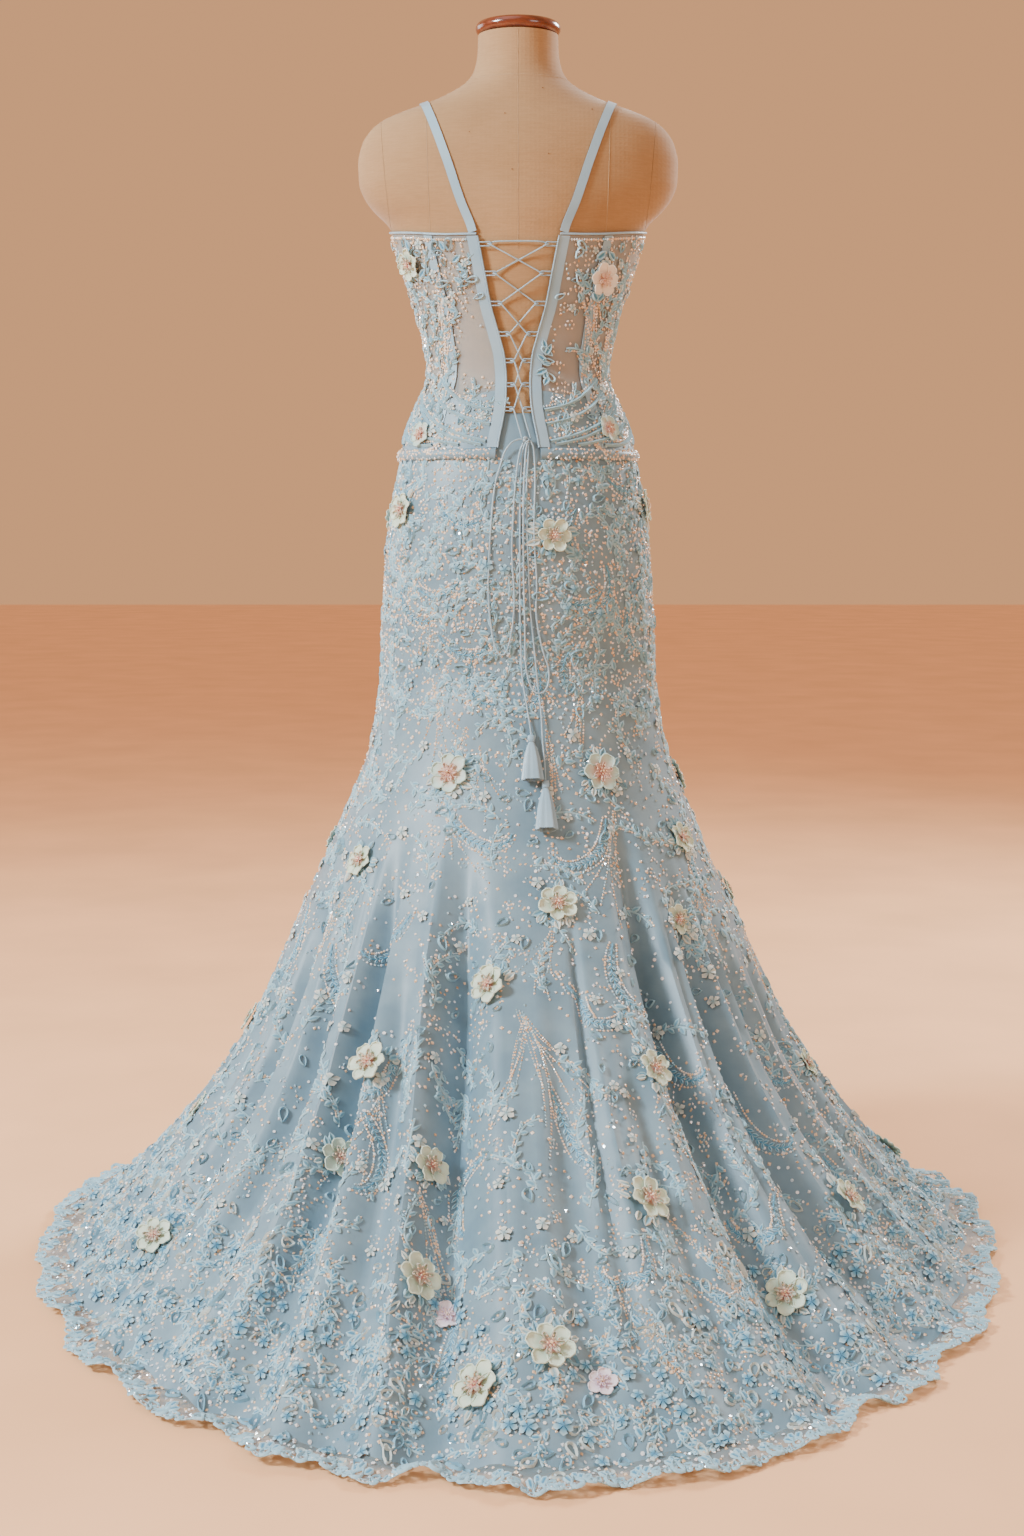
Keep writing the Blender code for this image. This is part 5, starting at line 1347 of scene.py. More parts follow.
CREASES = (
    # turn at the hem, its top and bottom height, half its width in degrees, ridge (or - trough) mm, drift
    (2.6, 0.52, 0.02, 2.6, -12.0, 1.0), (-4.5, 0.46, 0.0, 2.2, 7.0, -1.5), (13.5, 0.60, 0.05, 2.0, 8.0, 1.0),
    (-14.5, 0.52, 0.0, 2.4, -15.0, -1.0), (-18.5, 0.40, 0.02, 1.9, 8.0, 1.2),
    (24.8, 0.50, 0.0, 2.2, 8.0, 1.2), (-30.5, 0.58, 0.04, 2.4, -14.0, -1.2),
    (-43.5, 0.52, 0.0, 2.8, -16.0, -0.8), (38.0, 0.56, 0.02, 2.8, -14.0, 1.5),
    (52.5, 0.46, 0.0, 2.6, -14.0, 0.5), (66.5, 0.48, 0.04, 2.6, -12.0, 0.8),
    (-57.5, 0.54, 0.0, 2.4, -13.0, -0.8), (-70.0, 0.44, 0.03, 2.6, -12.0, -0.5),
    (-82.0, 0.42, 0.0, 2.4, -10.0, 0.6), (79.5, 0.42, 0.0, 2.6, -12.0, 0.8),
    (93.0, 0.44, 0.02, 2.6, -12.0, -0.6), (107.0, 0.38, 0.0, 2.8, -11.0, 0.8),
    (121.5, 0.46, 0.03, 2.4, -12.0, -0.7), (136.5, 0.36, 0.0, 2.8, -10.0, 0.9),
    (151.5, 0.42, 0.02, 2.4, -12.0, -0.9), (166.5, 0.40, 0.0, 2.6, -10.0, 0.7),
    (180.0, 0.34, 0.03, 2.6, 6.0, -0.6), (-165.0, 0.40, 0.0, 2.8, -11.0, 0.8),
    (-151.0, 0.44, 0.03, 2.4, -12.0, -0.7), (-137.0, 0.38, 0.0, 2.6, -10.0, 0.6),
    (-122.5, 0.46, 0.02, 2.6, -12.0, -0.8), (-108.0, 0.38, 0.0, 2.8, -10.0, 0.7),
    (-94.5, 0.42, 0.04, 2.4, -11.0, -0.6), (5.9, 0.28, 0.0, 1.6, 6.0, 0.8), (-1.5, 0.34, 0.06, 1.5, 5.0, 0.4),
    (28.0, 0.32, 0.02, 1.6, -7.0, 0.5), (-33.8, 0.28, 0.0, 1.5, 6.0, -0.6), (48.8, 0.24, 0.0, 1.7, 6.0, 0.4),
    (-47.4, 0.26, 0.0, 1.7, 6.0, -0.5), (-61.0, 0.22, 0.0, 1.8, 5.0, 0.4), (34.6, 0.26, 0.0, 1.6, 6.0, -0.4),
)
BORDER_TURN = 360 / SCALLOPS
FLOOR_GAP = 0.4 * MM
CLOTH_WALL = 1.3 * MM          # of the finished gores, thin enough for their folds
GORES = (
    # name, first and last turn at the hem
    ("skirt_back_left", 0, 38.5), ("skirt_side_back_left", 38.5, 93), ("skirt_side_front_left", 93, 136.5),
    ("skirt_front", 136.5, 223), ("skirt_side_front_right", -137, -94.5),
    ("skirt_side_back_right", -94.5, -44), ("skirt_back_right", -44, 0),
)


def creased(turn, height):
    """How far the small creases take the cloth out, in metres."""
    out = np.zeros(np.broadcast(turn, height).shape)
    for at, top, bottom, half, ridge, drift in CREASES:
        share = np.clip((top - height) / (top - bottom), 0, 1)
        across = np.clip(turn_gap(turn, at + drift * (1 - share)) / half, -1, 1)
        along = smoothstep(0, 0.35, share) * (1 - 0.4 * smoothstep(0.8, 1.0, share))
        out += ridge * MM * along * np.cos(across * math.pi / 2) ** 2
    return out


def scallop(turn):
    """How far the border reaches beyond the hem, in metres: round scallops of uneven depth."""
    phase = np.asarray(turn, float) / BORDER_TURN
    uneven = 0.85 + 0.15 * np.sin(phase * 1.7) * np.sin(phase * 0.61 + 1)
    return LACE_HEM_WIDTH - SCALLOP_DEPTH * uneven * (1 - np.abs(np.sin(math.pi * phase)) ** 0.6)


def level_way(angle):
    """Unit steps outward at an angle, level with the floor."""
    return np.stack([np.sin(angle), np.cos(angle), np.zeros(angle.shape)], axis=-1)


def cloth_point(turn, height):
    """The finished skirt's face. Heights under 0 run out over the floor on the lace border."""
    turn, height = np.broadcast_arrays(np.asarray(turn, float), np.asarray(height, float))
    on_skirt = np.maximum(height, 0)
    points = skirt_point(turn, on_skirt)
    points = points + level_way(np.radians(skirt_turn(turn, on_skirt))) * creased(turn, on_skirt)[..., None]
    points[..., 2] = np.maximum(points[..., 2], SKIRT_WALL + FLOOR_GAP)
    out = np.clip(-height, 0, None)
    way = np.radians(turn)
    waves = np.sin(way * HEM_WAVES + 2 * np.sin(way * HEM_WAVES / 4))
    small = 0.5 * np.sin(way * 83 + 1.3 * np.sin(way * 17))
    free = LACE_WALL + HEM_WAVE_HEIGHT * (0.62 + 0.38 * waves + 0.48 * small)
    share = out / LACE_HEM_WIDTH
    z = points[..., 2] * (1 - smoothstep(0, 1, share)) + free * smoothstep(0, 1, share)
    points = points + level_way(way) * out[..., None]
    points[..., 2] = np.where(out > 0, z, points[..., 2])
    return points


def skirt():
    """The seven gores, and the sheer lace border that runs on from the hem of each."""
    for name, first, last in GORES:
        turns = np.linspace(first, last, round(last - first) + 1)
        heights = np.concatenate([np.arange(SKIRT_TOP, 0.70, -0.02), np.arange(0.70, 0.0, -0.0125), [0.0]])
        outer = cloth_point(*np.meshgrid(turns, heights))
        out = SKIRT_CLOTH.read(SKIRT_CLOTH.out, *np.meshgrid(turns, heights))
        inner = outer - out * CLOTH_WALL
        inner[..., 2] = np.maximum(inner[..., 2], FLOOR_GAP)
        made = joined(f"satin_{name}", [shell(outer[:, ::-1], inner[:, ::-1])], "satin", "satin", name)
        reach = np.linspace(0, 1, 7)[:, None] * scallop(turns)[None]
        border = cloth_point(np.broadcast_to(turns, reach.shape), -reach)
        border_name = name.replace("skirt", "hem_lace")
        shape = border.reshape(-1, 3), grid_faces(*border.shape[:2], flip=True)
        made = joined(f"net_{border_name}", [shape], "border_net", "lace", border_name)


# ---------------------------------------------------------------- embroidery

BARE = (
    # places with little beading: turn at the hem, height, and half the extent of each
    (24, 0.42, 8, 0.10), (33, 0.36, 7, 0.12), (45, 0.30, 7, 0.10), (-2, 0.32, 5, 0.07), (5, 0.56, 5, 0.06),
    (-40, 0.42, 8, 0.10), (-52, 0.22, 6, 0.10), (-16, 0.40, 4, 0.08), (6, 0.16, 4, 0.05), (62, 0.34, 6, 0.08),
    (-46, 0.09, 5, 0.05), (20, 0.20, 4, 0.06), (75, 0.45, 6, 0.08), (-75, 0.35, 6, 0.10), (95, 0.40, 8, 0.10),
    (120, 0.32, 8, 0.10), (150, 0.44, 8, 0.08), (175, 0.34, 8, 0.10), (-160, 0.42, 8, 0.10),
    (-135, 0.30, 8, 0.10), (-110, 0.42, 8, 0.10),
)


def bare(turn, height):
    """1 in the middle of a bare place, 0 away from them all."""
    found = np.zeros(np.shape(turn))
    for at, middle, wide, tall in BARE:
        away = (turn_gap(turn, at) / wide) ** 2 + ((height - middle) / tall) ** 2
        found = np.maximum(found, np.exp(-away ** 1.5))
    return found


def patchy(turn, height):
    """Slow unevenness, from 0 to 1."""
    way = np.radians(turn)
    value = np.sin(way * 11 + 3 * np.sin(height * 9)) + np.sin(height * 31 + 2 * np.sin(way * 5 + 1))
    return 0.5 + 0.25 * (value + 0.6 * np.sin(way * 23 + height * 47)) / 1.3


def bead_chance(turn, height):
    upper = smoothstep(0.66, 0.74, height)
    border = 1 - smoothstep(0.09, 0.15, height)
    flare = 0.30 + 0.45 * patchy(turn, height)
    chance = np.maximum(np.maximum(0.95 * upper, 0.9 * border), flare)
    return chance * (1 - 0.88 * bare(turn, height))


def region_of(turn):
    """0 to 3: quarters of the skirt, so that no piece of beading is too big."""
    return ((turn + 180) % 360 // 90).astype(int)


SPRIGS = (
    # small sprigs: where their beads stand about the foot, in bead widths, and the turn of each bead
    [(0.9 * math.sin(a * 0.5) * a, 1.35 * a, 0.25 * a) for a in range(6)],
    [(-0.9 * math.sin(a * 0.5) * a, 1.35 * a, -0.25 * a) for a in range(6)],
    [(0, 0, 0), (0, 1.4, 0), (0, 2.8, 0), (1.1, 3.9, -0.7), (-1.1, 3.9, 0.7), (0, 4.4, 0)],
    [(1.3 * math.cos(a), 1.3 * math.sin(a), a) for a in np.radians(range(0, 360, 60))] + [(0, 0, 0)],
)


def moved_places(cloth, places, x, y):
    """Places that far round and up the cloth from others."""
    return np.stack(cloth.moved(places[..., 0], places[..., 1], x, y), axis=-1)


def sprigs(cloth, places, angle, size):
    """Bead seeds for sprigs at places: each place one of four kinds."""
    kinds = RNG.integers(0, 4, len(places))
    rows = []
    for kind, beads in enumerate(SPRIGS):
        mine, a = places[kinds == kind], angle[kinds == kind]
        for x, y, turned_by in beads:
            dx, dy = x * size * 1.15, y * size * 1.15
            at = moved_places(cloth, mine, dx * np.cos(a) - dy * np.sin(a), dx * np.sin(a) + dy * np.cos(a))
            rows.append(seeds_from(at, a + turned_by, size * 0.8, size * 1.15))
    return np.concatenate(rows)


STRING_STEP = 4.4 * MM         # from bead to bead


def fan_beads(cloth, fans):
    """Strings of beads that fall from a place and spread, a row of FANS for each place."""
    rows = []
    for turn, height, angle, length, half_spread, strings in fans:
        for k in range(strings):
            share = (k + 0.5) / strings * 2 - 1
            run = length * (0.66 + 0.34 * math.cos(share * 1.3)) * RNG.uniform(0.75, 1.25)
            at = np.linspace(0.14, 1, int(run / STRING_STEP))
            way = angle + math.pi + share * half_spread * (0.25 + 0.6 * at)
            way = way + 0.3 * (at - 0.5) * math.sin(angle * 7 + k)
            foot = np.array([(turn, height)] * len(at))
            places = moved_places(cloth, foot, -np.sin(way) * at * run, np.cos(way) * at * run)
            size = 2.7 * MM + 1.1 * MM * at
            rows.append(seeds_from(places, way, size * 0.85, size * 1.15))
    return np.concatenate(rows)


FANS = (
    # turn, height, angle, length, half spread, strings
    (10.0, 0.705, 0.30, 0.111, 0.27, 6), (-12.0, 0.700, -0.10, 0.104, 0.24, 6),
    (-30.0, 0.745, 0.2, 0.098, 0.32, 6), (30.0, 0.760, -0.3, 0.104, 0.32, 6),
    (-1.5, 0.390, -0.45, 0.195, 0.34, 8), (-4.0, 0.380, 0.1, 0.156, 0.20, 5),
    (22.0, 0.300, 0.45, 0.117, 0.32, 6), (-13.0, 0.150, 0.0, 0.130, 0.36, 8),
    (-24.0, 0.185, -0.3, 0.117, 0.32, 7), (13.0, 0.215, 0.2, 0.104, 0.28, 6),
    (-30.0, 0.300, 0.3, 0.117, 0.32, 7), (38.0, 0.250, 0.5, 0.130, 0.32, 7),
    (30.0, 0.110, 0.6, 0.117, 0.36, 7), (6.5, 0.680, -0.2, 0.091, 0.24, 5),
    (-38.0, 0.600, 0.3, 0.130, 0.28, 7), (-10.5, 0.470, 0.35, 0.104, 0.32, 6),
    (17.0, 0.600, -0.5, 0.104, 0.32, 6), (48.0, 0.500, 0.2, 0.117, 0.32, 7),
    (-63.0, 0.520, 0.1, 0.117, 0.32, 7), (-40.0, 0.100, 0.5, 0.104, 0.32, 7),
    (62.0, 0.120, 0.3, 0.104, 0.36, 7), (-14.0, 0.930, 0.55, 0.111, 0.32, 6),
    (58.0, 0.955, -0.2, 0.111, 0.32, 7), (-30.0, 0.905, -0.5, 0.104, 0.32, 6),
    (25.0, 0.880, 0.4, 0.104, 0.32, 6), (-6.0, 0.790, -0.4, 0.091, 0.28, 5),
    (16.0, 0.800, 0.5, 0.091, 0.28, 5),
)


def all_round(cloth, low, high, spacing, lengths):
    """Fans where the photograph shows none: on the sides and the front."""
    fans = []
    for turn, height in spread(cloth, spacing, low, high, lambda t, h: np.full(len(t), 0.9), (-180, 180)):
        if abs(turn_gap(turn, 0)) > 66:
            angle, length = RNG.uniform(-0.6, 0.6), RNG.uniform(*lengths)
            fans.append((turn, height, angle, length, RNG.uniform(0.22, 0.34), 6))
    return fans


VINE_RADIUS, STALK_RADIUS = 1.3 * MM, 1.2 * MM


def vines(cloth, name, starts, length, curl, look, leaf, bead):
    """Cord vines with leaves on alternate sides, and a row of beads beside each."""
    lines, headings = grown(cloth, starts, length, curl)
    stems = ribbons(cloth, lines, VINE_RADIUS)
    leaves, beads = [], []
    steps = lines.shape[1]
    for n in range(1, steps - 1, 2):
        side = 1 if (n // 2) % 2 else -1
        leaf_length = leaf * (1.15 - 0.45 * n / steps) * RNG.uniform(0.8, 1.15, len(lines))
        leaves.append(seeds_from(lines[:, n], headings[:, n] + side * 0.85, leaf_length * 0.62, leaf_length))
    aside = VINE_RADIUS + bead * 0.5
    for n in range(1, steps):
        way = headings[:, n]
        at = moved_places(cloth, lines[:, n], aside * np.cos(way), aside * np.sin(way))
        beads.append(seeds_from(at, way, bead * 0.8, bead * 1.2))
    leaves = np.concatenate(leaves)
    reach = np.concatenate([np.full(len(stems[0]), 0.9), np.tile(LEAF[2], len(leaves))])
    joined(name, [stems, stamp(cloth, leaves, LEAF, 0.3 * MM)], look, "lace", reach=reach)
    return np.concatenate(beads)


def bands(cloth, name, starts, length, curl, widest):
    """Curving sprays: a stalk with paired corded leaves all along it, edged with rows of beads."""
    lines, headings = grown(cloth, starts, length, curl)
    share = np.linspace(0, 1, lines.shape[1])
    half = np.broadcast_to(widest * (0.30 + 0.70 * np.sin(math.pi * share) ** 0.7), headings.shape)
    stalk = ribbons(cloth, lines, STALK_RADIUS)
    parts, reach, beads = [stalk], [np.full(len(stalk[0]), 0.4)], []
    for side in (-1, 1):
        turn_out = headings[:, ::2] + side * LEAF_SPREAD + RNG.normal(0, 0.15, headings[:, ::2].shape)
        width = half[:, ::2].ravel()
        seeds = seeds_from(lines[:, ::2].reshape(-1, 2), turn_out.ravel(), width, 1.7 * width)
        parts.append(stamp(cloth, seeds, LEAF, 0.4 * MM))
        reach.append(np.tile(LEAF[2], len(seeds)))
        aside = side * (1.25 * half + 2.4 * MM)
        edge = moved_places(cloth, lines, aside * np.cos(headings), aside * np.sin(headings))
        beads.append(seeds_from(edge.reshape(-1, 2), headings.ravel(), 3.4 * MM, 4.2 * MM))
    joined(name, parts, "sky_lace", "lace", reach=np.concatenate(reach))
    return np.concatenate(beads)


# ---------------------------------------------------------------- the large flowers

# a petal's rows: distance from its foot, and the share of its full width
PETAL_ROWS = (0.10, 0.50), (0.38, 0.84), (0.66, 1.0), (0.88, 0.90), (1.0, 0.55)


def petal_shape(width, cup, columns=4):
    """A round cupped petal of length 1 from its foot at the origin, as a grid with its reach."""
    x = np.linspace(-1, 1, columns)[None]
    y, share = (np.array(column)[:, None] for column in zip(*PETAL_ROWS))
    rise = cup * (0.35 * y + 0.30 * x * x * y + 0.25 * (1 - y) ** 2)
    return np.stack([width * share * x, y - 0.06 * x * x * y, rise], axis=-1)


def big_flower(radius, petals, turned_by):
    """A flower of that radius about its axis: cupped petals with corded rims, and small inner ones."""
    parts, reaches = [], []
    for count, length, width, cup, base, twist, rim_size, rim_reach in (
        (petals, 1.0, 2.15 / petals, 0.34, 0.06, 0.0, 1.0, 1.0), (6, 0.52, 0.17, 0.55, 0.20, 0.3, 0.7, 0.30),
    ):
        for k in range(count):
            a = turned_by + twist + 2 * math.pi * (k + RNG.uniform(-0.06, 0.06)) / count
            shape = petal_shape(width * RNG.uniform(0.92, 1.08), cup * RNG.uniform(0.8, 1.25))
            grid = shape * (length * radius * RNG.uniform(0.92, 1.04))
            grid[..., 2] += base * radius + (0.012 * radius if k % 2 else 0)
            c, s = math.cos(a), math.sin(a)
            grid = grid @ np.array([(c, s, 0), (-s, c, 0), (0, 0, 1)])
            rim = np.concatenate([grid[1:, 0], grid[-1, 1:], grid[-2:0:-1, -1]])
            cord = tube(rim, 0.040 * radius * rim_size, 4)
            parts += [(grid.reshape(-1, 3), grid_faces(*grid.shape[:2])), cord]
            reaches += [(shape[..., 1] * length).ravel(), np.full(len(cord[0]), rim_reach)]
    return parts, reaches


def flower_heart(radius):
    """Pearls in the middle of a flower, about its axis."""
    beads = [(0, 0)] + [(0.16 * math.cos(a), 0.16 * math.sin(a)) for a in np.radians(range(0, 360, 60))]
    beads += [(0.34 * math.cos(a), 0.34 * math.sin(a)) for a in np.radians(range(20, 380, 45))]
    shapes = []
    for n, (x, y) in enumerate(beads):
        size, lift = 0.20 if n == 0 else 0.12, 0.40 if n < 7 else 0.36
        shapes.append(((BEAD[0] * size + (x, y, lift)) * radius, BEAD[1]))
    return shapes


def place_flower(cloth, turn, height, radius):
    """A flower's frame on the cloth: its foot, and the directions of its own axes."""
    around = np.radians(np.arange(0, 360, 30))
    r = np.repeat((radius * 0.35, radius * 0.9), len(around))
    x, y = r * np.cos(np.tile(around, 2)), r * np.sin(np.tile(around, 2))
    turns, heights = moved_places(cloth, np.array([(turn, height)] * len(r)), x, y).T
    points = cloth.lay(turns, heights, 0.0 * turns)
    out = cloth.read(cloth.out, turns, heights).mean(axis=0)
    out /= np.linalg.norm(out)
    foot = cloth.lay(np.array([turn]), np.array([height]), np.zeros(1))[0]
    rise = (points[:len(around)] - foot) @ out
    foot = foot + out * (np.clip(rise.max(), 0, 8 * MM) * 0.8 + 1.0 * MM)
    side = np.cross((0, 0, 1.0), out)
    side /= np.linalg.norm(side)
    return foot, side, np.cross(out, side), out


def flower_piece(name, cloth, rows, look, *replaced):
    """One piece of one or more flowers, each a row of turn, height, radius, petals, and its hearts apart."""
    parts, reaches, hearts = [], [], []
    for turn, height, radius, petals in rows:
        foot, side, up, out = place_flower(cloth, turn, height, radius)
        frame_of = np.array([side, up, out])
        shapes, reach = big_flower(radius, petals, RNG.uniform(0, 1))
        parts += [(foot + np.asarray(points) @ frame_of, faces) for points, faces in shapes]
        reaches += reach
        hearts += [(foot + points @ frame_of, faces) for points, faces in flower_heart(radius)]
    joined(name, parts, look, "flower", *replaced, reach=np.concatenate(reaches))
    joined(f"{name}_pearls", hearts, "pearl", "flower")


# ---------------------------------------------------------------- what is laid where

SOLID_FLOWERS = (
    # the flowers with solids of their own: node, turn, height, radius, petals, look
    ("flower_top_left", 64, 1.288, 0.021, 6, "petal"),
    ("flower_top_right", -47, 1.267, 0.022, 6, "pale_petal"),
    ("flower_hip_left", 60, 0.970, 0.023, 6, "petal"),
    ("flower_knee_left", 16, 0.635, 0.026, 6, "blush_petal"),
    ("flower_knee_right", -34.5, 0.635, 0.026, 6, "blush_petal"),
    ("flower_high_left", 48, 0.520, 0.022, 6, "petal"),
    ("flower_high_middle", -11.5, 0.485, 0.025, 6, "petal"),
    ("flower_high_right", -64, 0.545, 0.022, 6, "petal"), ("flower_middle", 2, 0.400, 0.025, 6, "petal"),
    ("flower_low_left", 24.5, 0.315, 0.026, 6, "petal"),
    ("flower_low_right", -29.5, 0.310, 0.024, 6, "petal"),
    ("flower_train_left", 12, 0.135, 0.027, 6, "petal"),
    ("flower_train_right", -21.5, 0.200, 0.028, 6, "petal"),
)
SKIRT_FLOWERS = (
    # more of them on the skirt: turn, height, radius, petals
    (-17.5, 0.938, 0.022, 6), (-84, 0.975, 0.021, 6), (-51.5, 0.450, 0.021, 6), (33, 0.205, 0.025, 6),
    (12, 0.225, 0.024, 6), (80, 0.175, 0.023, 6), (-59.5, 0.135, 0.025, 6), (63, 0.075, 0.025, 6),
    (-39.5, 0.080, 0.026, 6), (-4, 0.095, 0.027, 6), (4, 0.057, 0.028, 6), (-89, 0.460, 0.018, 6),
    (91.5, 0.275, 0.020, 6), (-82, 0.235, 0.020, 6), (104, 0.52, 0.023, 6), (118, 0.33, 0.025, 6),
    (131, 0.16, 0.025, 6), (142, 0.62, 0.024, 6), (151, 0.42, 0.024, 6), (158, 0.24, 0.025, 6),
    (171, 0.55, 0.024, 6), (177, 0.10, 0.026, 6), (-170, 0.36, 0.025, 6), (-162, 0.19, 0.025, 6),
    (-152, 0.56, 0.023, 6), (-141, 0.33, 0.025, 6), (-131, 0.12, 0.025, 6), (-120, 0.50, 0.023, 6),
    (-111, 0.25, 0.025, 6), (-100, 0.61, 0.022, 6), (108, 0.96, 0.022, 6), (163, 0.93, 0.023, 6),
    (-158, 0.98, 0.022, 6), (-115, 0.93, 0.022, 6), (100, 0.09, 0.025, 6), (-96, 0.08, 0.025, 6),
)
HEM_ROSES = (
    # small lilac ones: turn, height, radius, petals
    (8.5, 0.095, 0.017, 5), (-9.5, 0.060, 0.016, 5),
)
CORSET_FLOWERS = (
    # on the corset: turn, height, radius, petals
    (57, 1.066, 0.017, 5), (-51.5, 1.073, 0.017, 5), (112, 1.30, 0.021, 6), (150, 1.25, 0.022, 6),
    (-118, 1.27, 0.021, 6), (-155, 1.32, 0.021, 6), (176, 1.20, 0.021, 6), (135, 1.10, 0.020, 6),
    (-133, 1.13, 0.020, 6),
)


def clusters(cloth, centres, radius, count):
    """Places and headings of the leaves crowded round the large flowers."""
    rows = []
    for turn, height, size, _ in centres:
        for _ in range(count):
            a, r = RNG.uniform(0, 2 * math.pi), RNG.uniform(0.85, 1.0) * radius * size / 0.025
            at = moved_places(cloth, np.array((turn, height)), -r * math.sin(a), r * math.cos(a))
            rows.append((*at, a + RNG.uniform(-0.5, 0.5)))
    return np.array(rows)


LEAF_SPREAD = 0.75                              # of a spray's leaves from its stalk
BANDS = (
    # where broad bands start: turn at the hem, height, heading from straight up
    (15.5, 0.600, 2.7), (17.5, 0.330, 3.6), (20.0, 0.470, 3.4), (24.0, 0.270, 2.9), (30.0, 0.180, 2.3),
    (37.0, 0.140, 3.9), (45.0, 0.190, 2.8), (54.0, 0.150, 3.6), (60.0, 0.260, 2.6), (9.0, 0.110, 2.2),
    (-7.0, 0.300, 3.3), (-19.0, 0.170, 3.7), (-24.0, 0.130, 2.4), (-32.0, 0.230, 3.2), (-37.0, 0.330, 2.7),
    (-33.0, 0.580, 3.5), (-45.0, 0.170, 3.6), (-53.0, 0.250, 2.8), (-62.0, 0.330, 3.4), (-66.0, 0.160, 2.6),
    (3.0, 0.240, 3.8), (-12.0, 0.400, 2.6), (50.0, 0.420, 3.2), (65.0, 0.130, 3.9), (-27.0, 0.440, 3.6),
)
HIP_BANDS = (
    # the smaller ones of the hips
    (30, 0.98, 2.6), (-30, 0.97, 3.7), (42, 0.90, 3.5), (-44, 0.90, 2.8), (16, 0.88, 3.9), (-17, 0.87, 2.4),
    (55, 0.86, 2.7), (-58, 0.85, 3.5), (26, 0.81, 2.5), (-27, 0.80, 3.8), (70, 0.95, 3.5), (-72, 0.94, 2.8),
    (95, 0.90, 2.6), (-96, 0.90, 3.6), (115, 0.84, 3.4), (-118, 0.85, 2.9), (135, 0.95, 2.7),
    (-138, 0.94, 3.5), (158, 0.86, 3.6), (-160, 0.85, 2.7), (177, 0.97, 3.3), (10, 0.78, 3.4),
    (-9, 0.77, 2.9), (84, 0.80, 3.3), (-86, 0.79, 2.9), (48, 1.01, 3.9), (-50, 1.01, 2.3),
)


BEAD_LOOKS = "pearl", "crystal", "sky_bead"
VINE_LEAF, VINE_BEAD = 12.0 * MM, 4.0 * MM
SPRIG_BEAD, SINGLE_BEAD = 4.0 * MM, 4.6 * MM


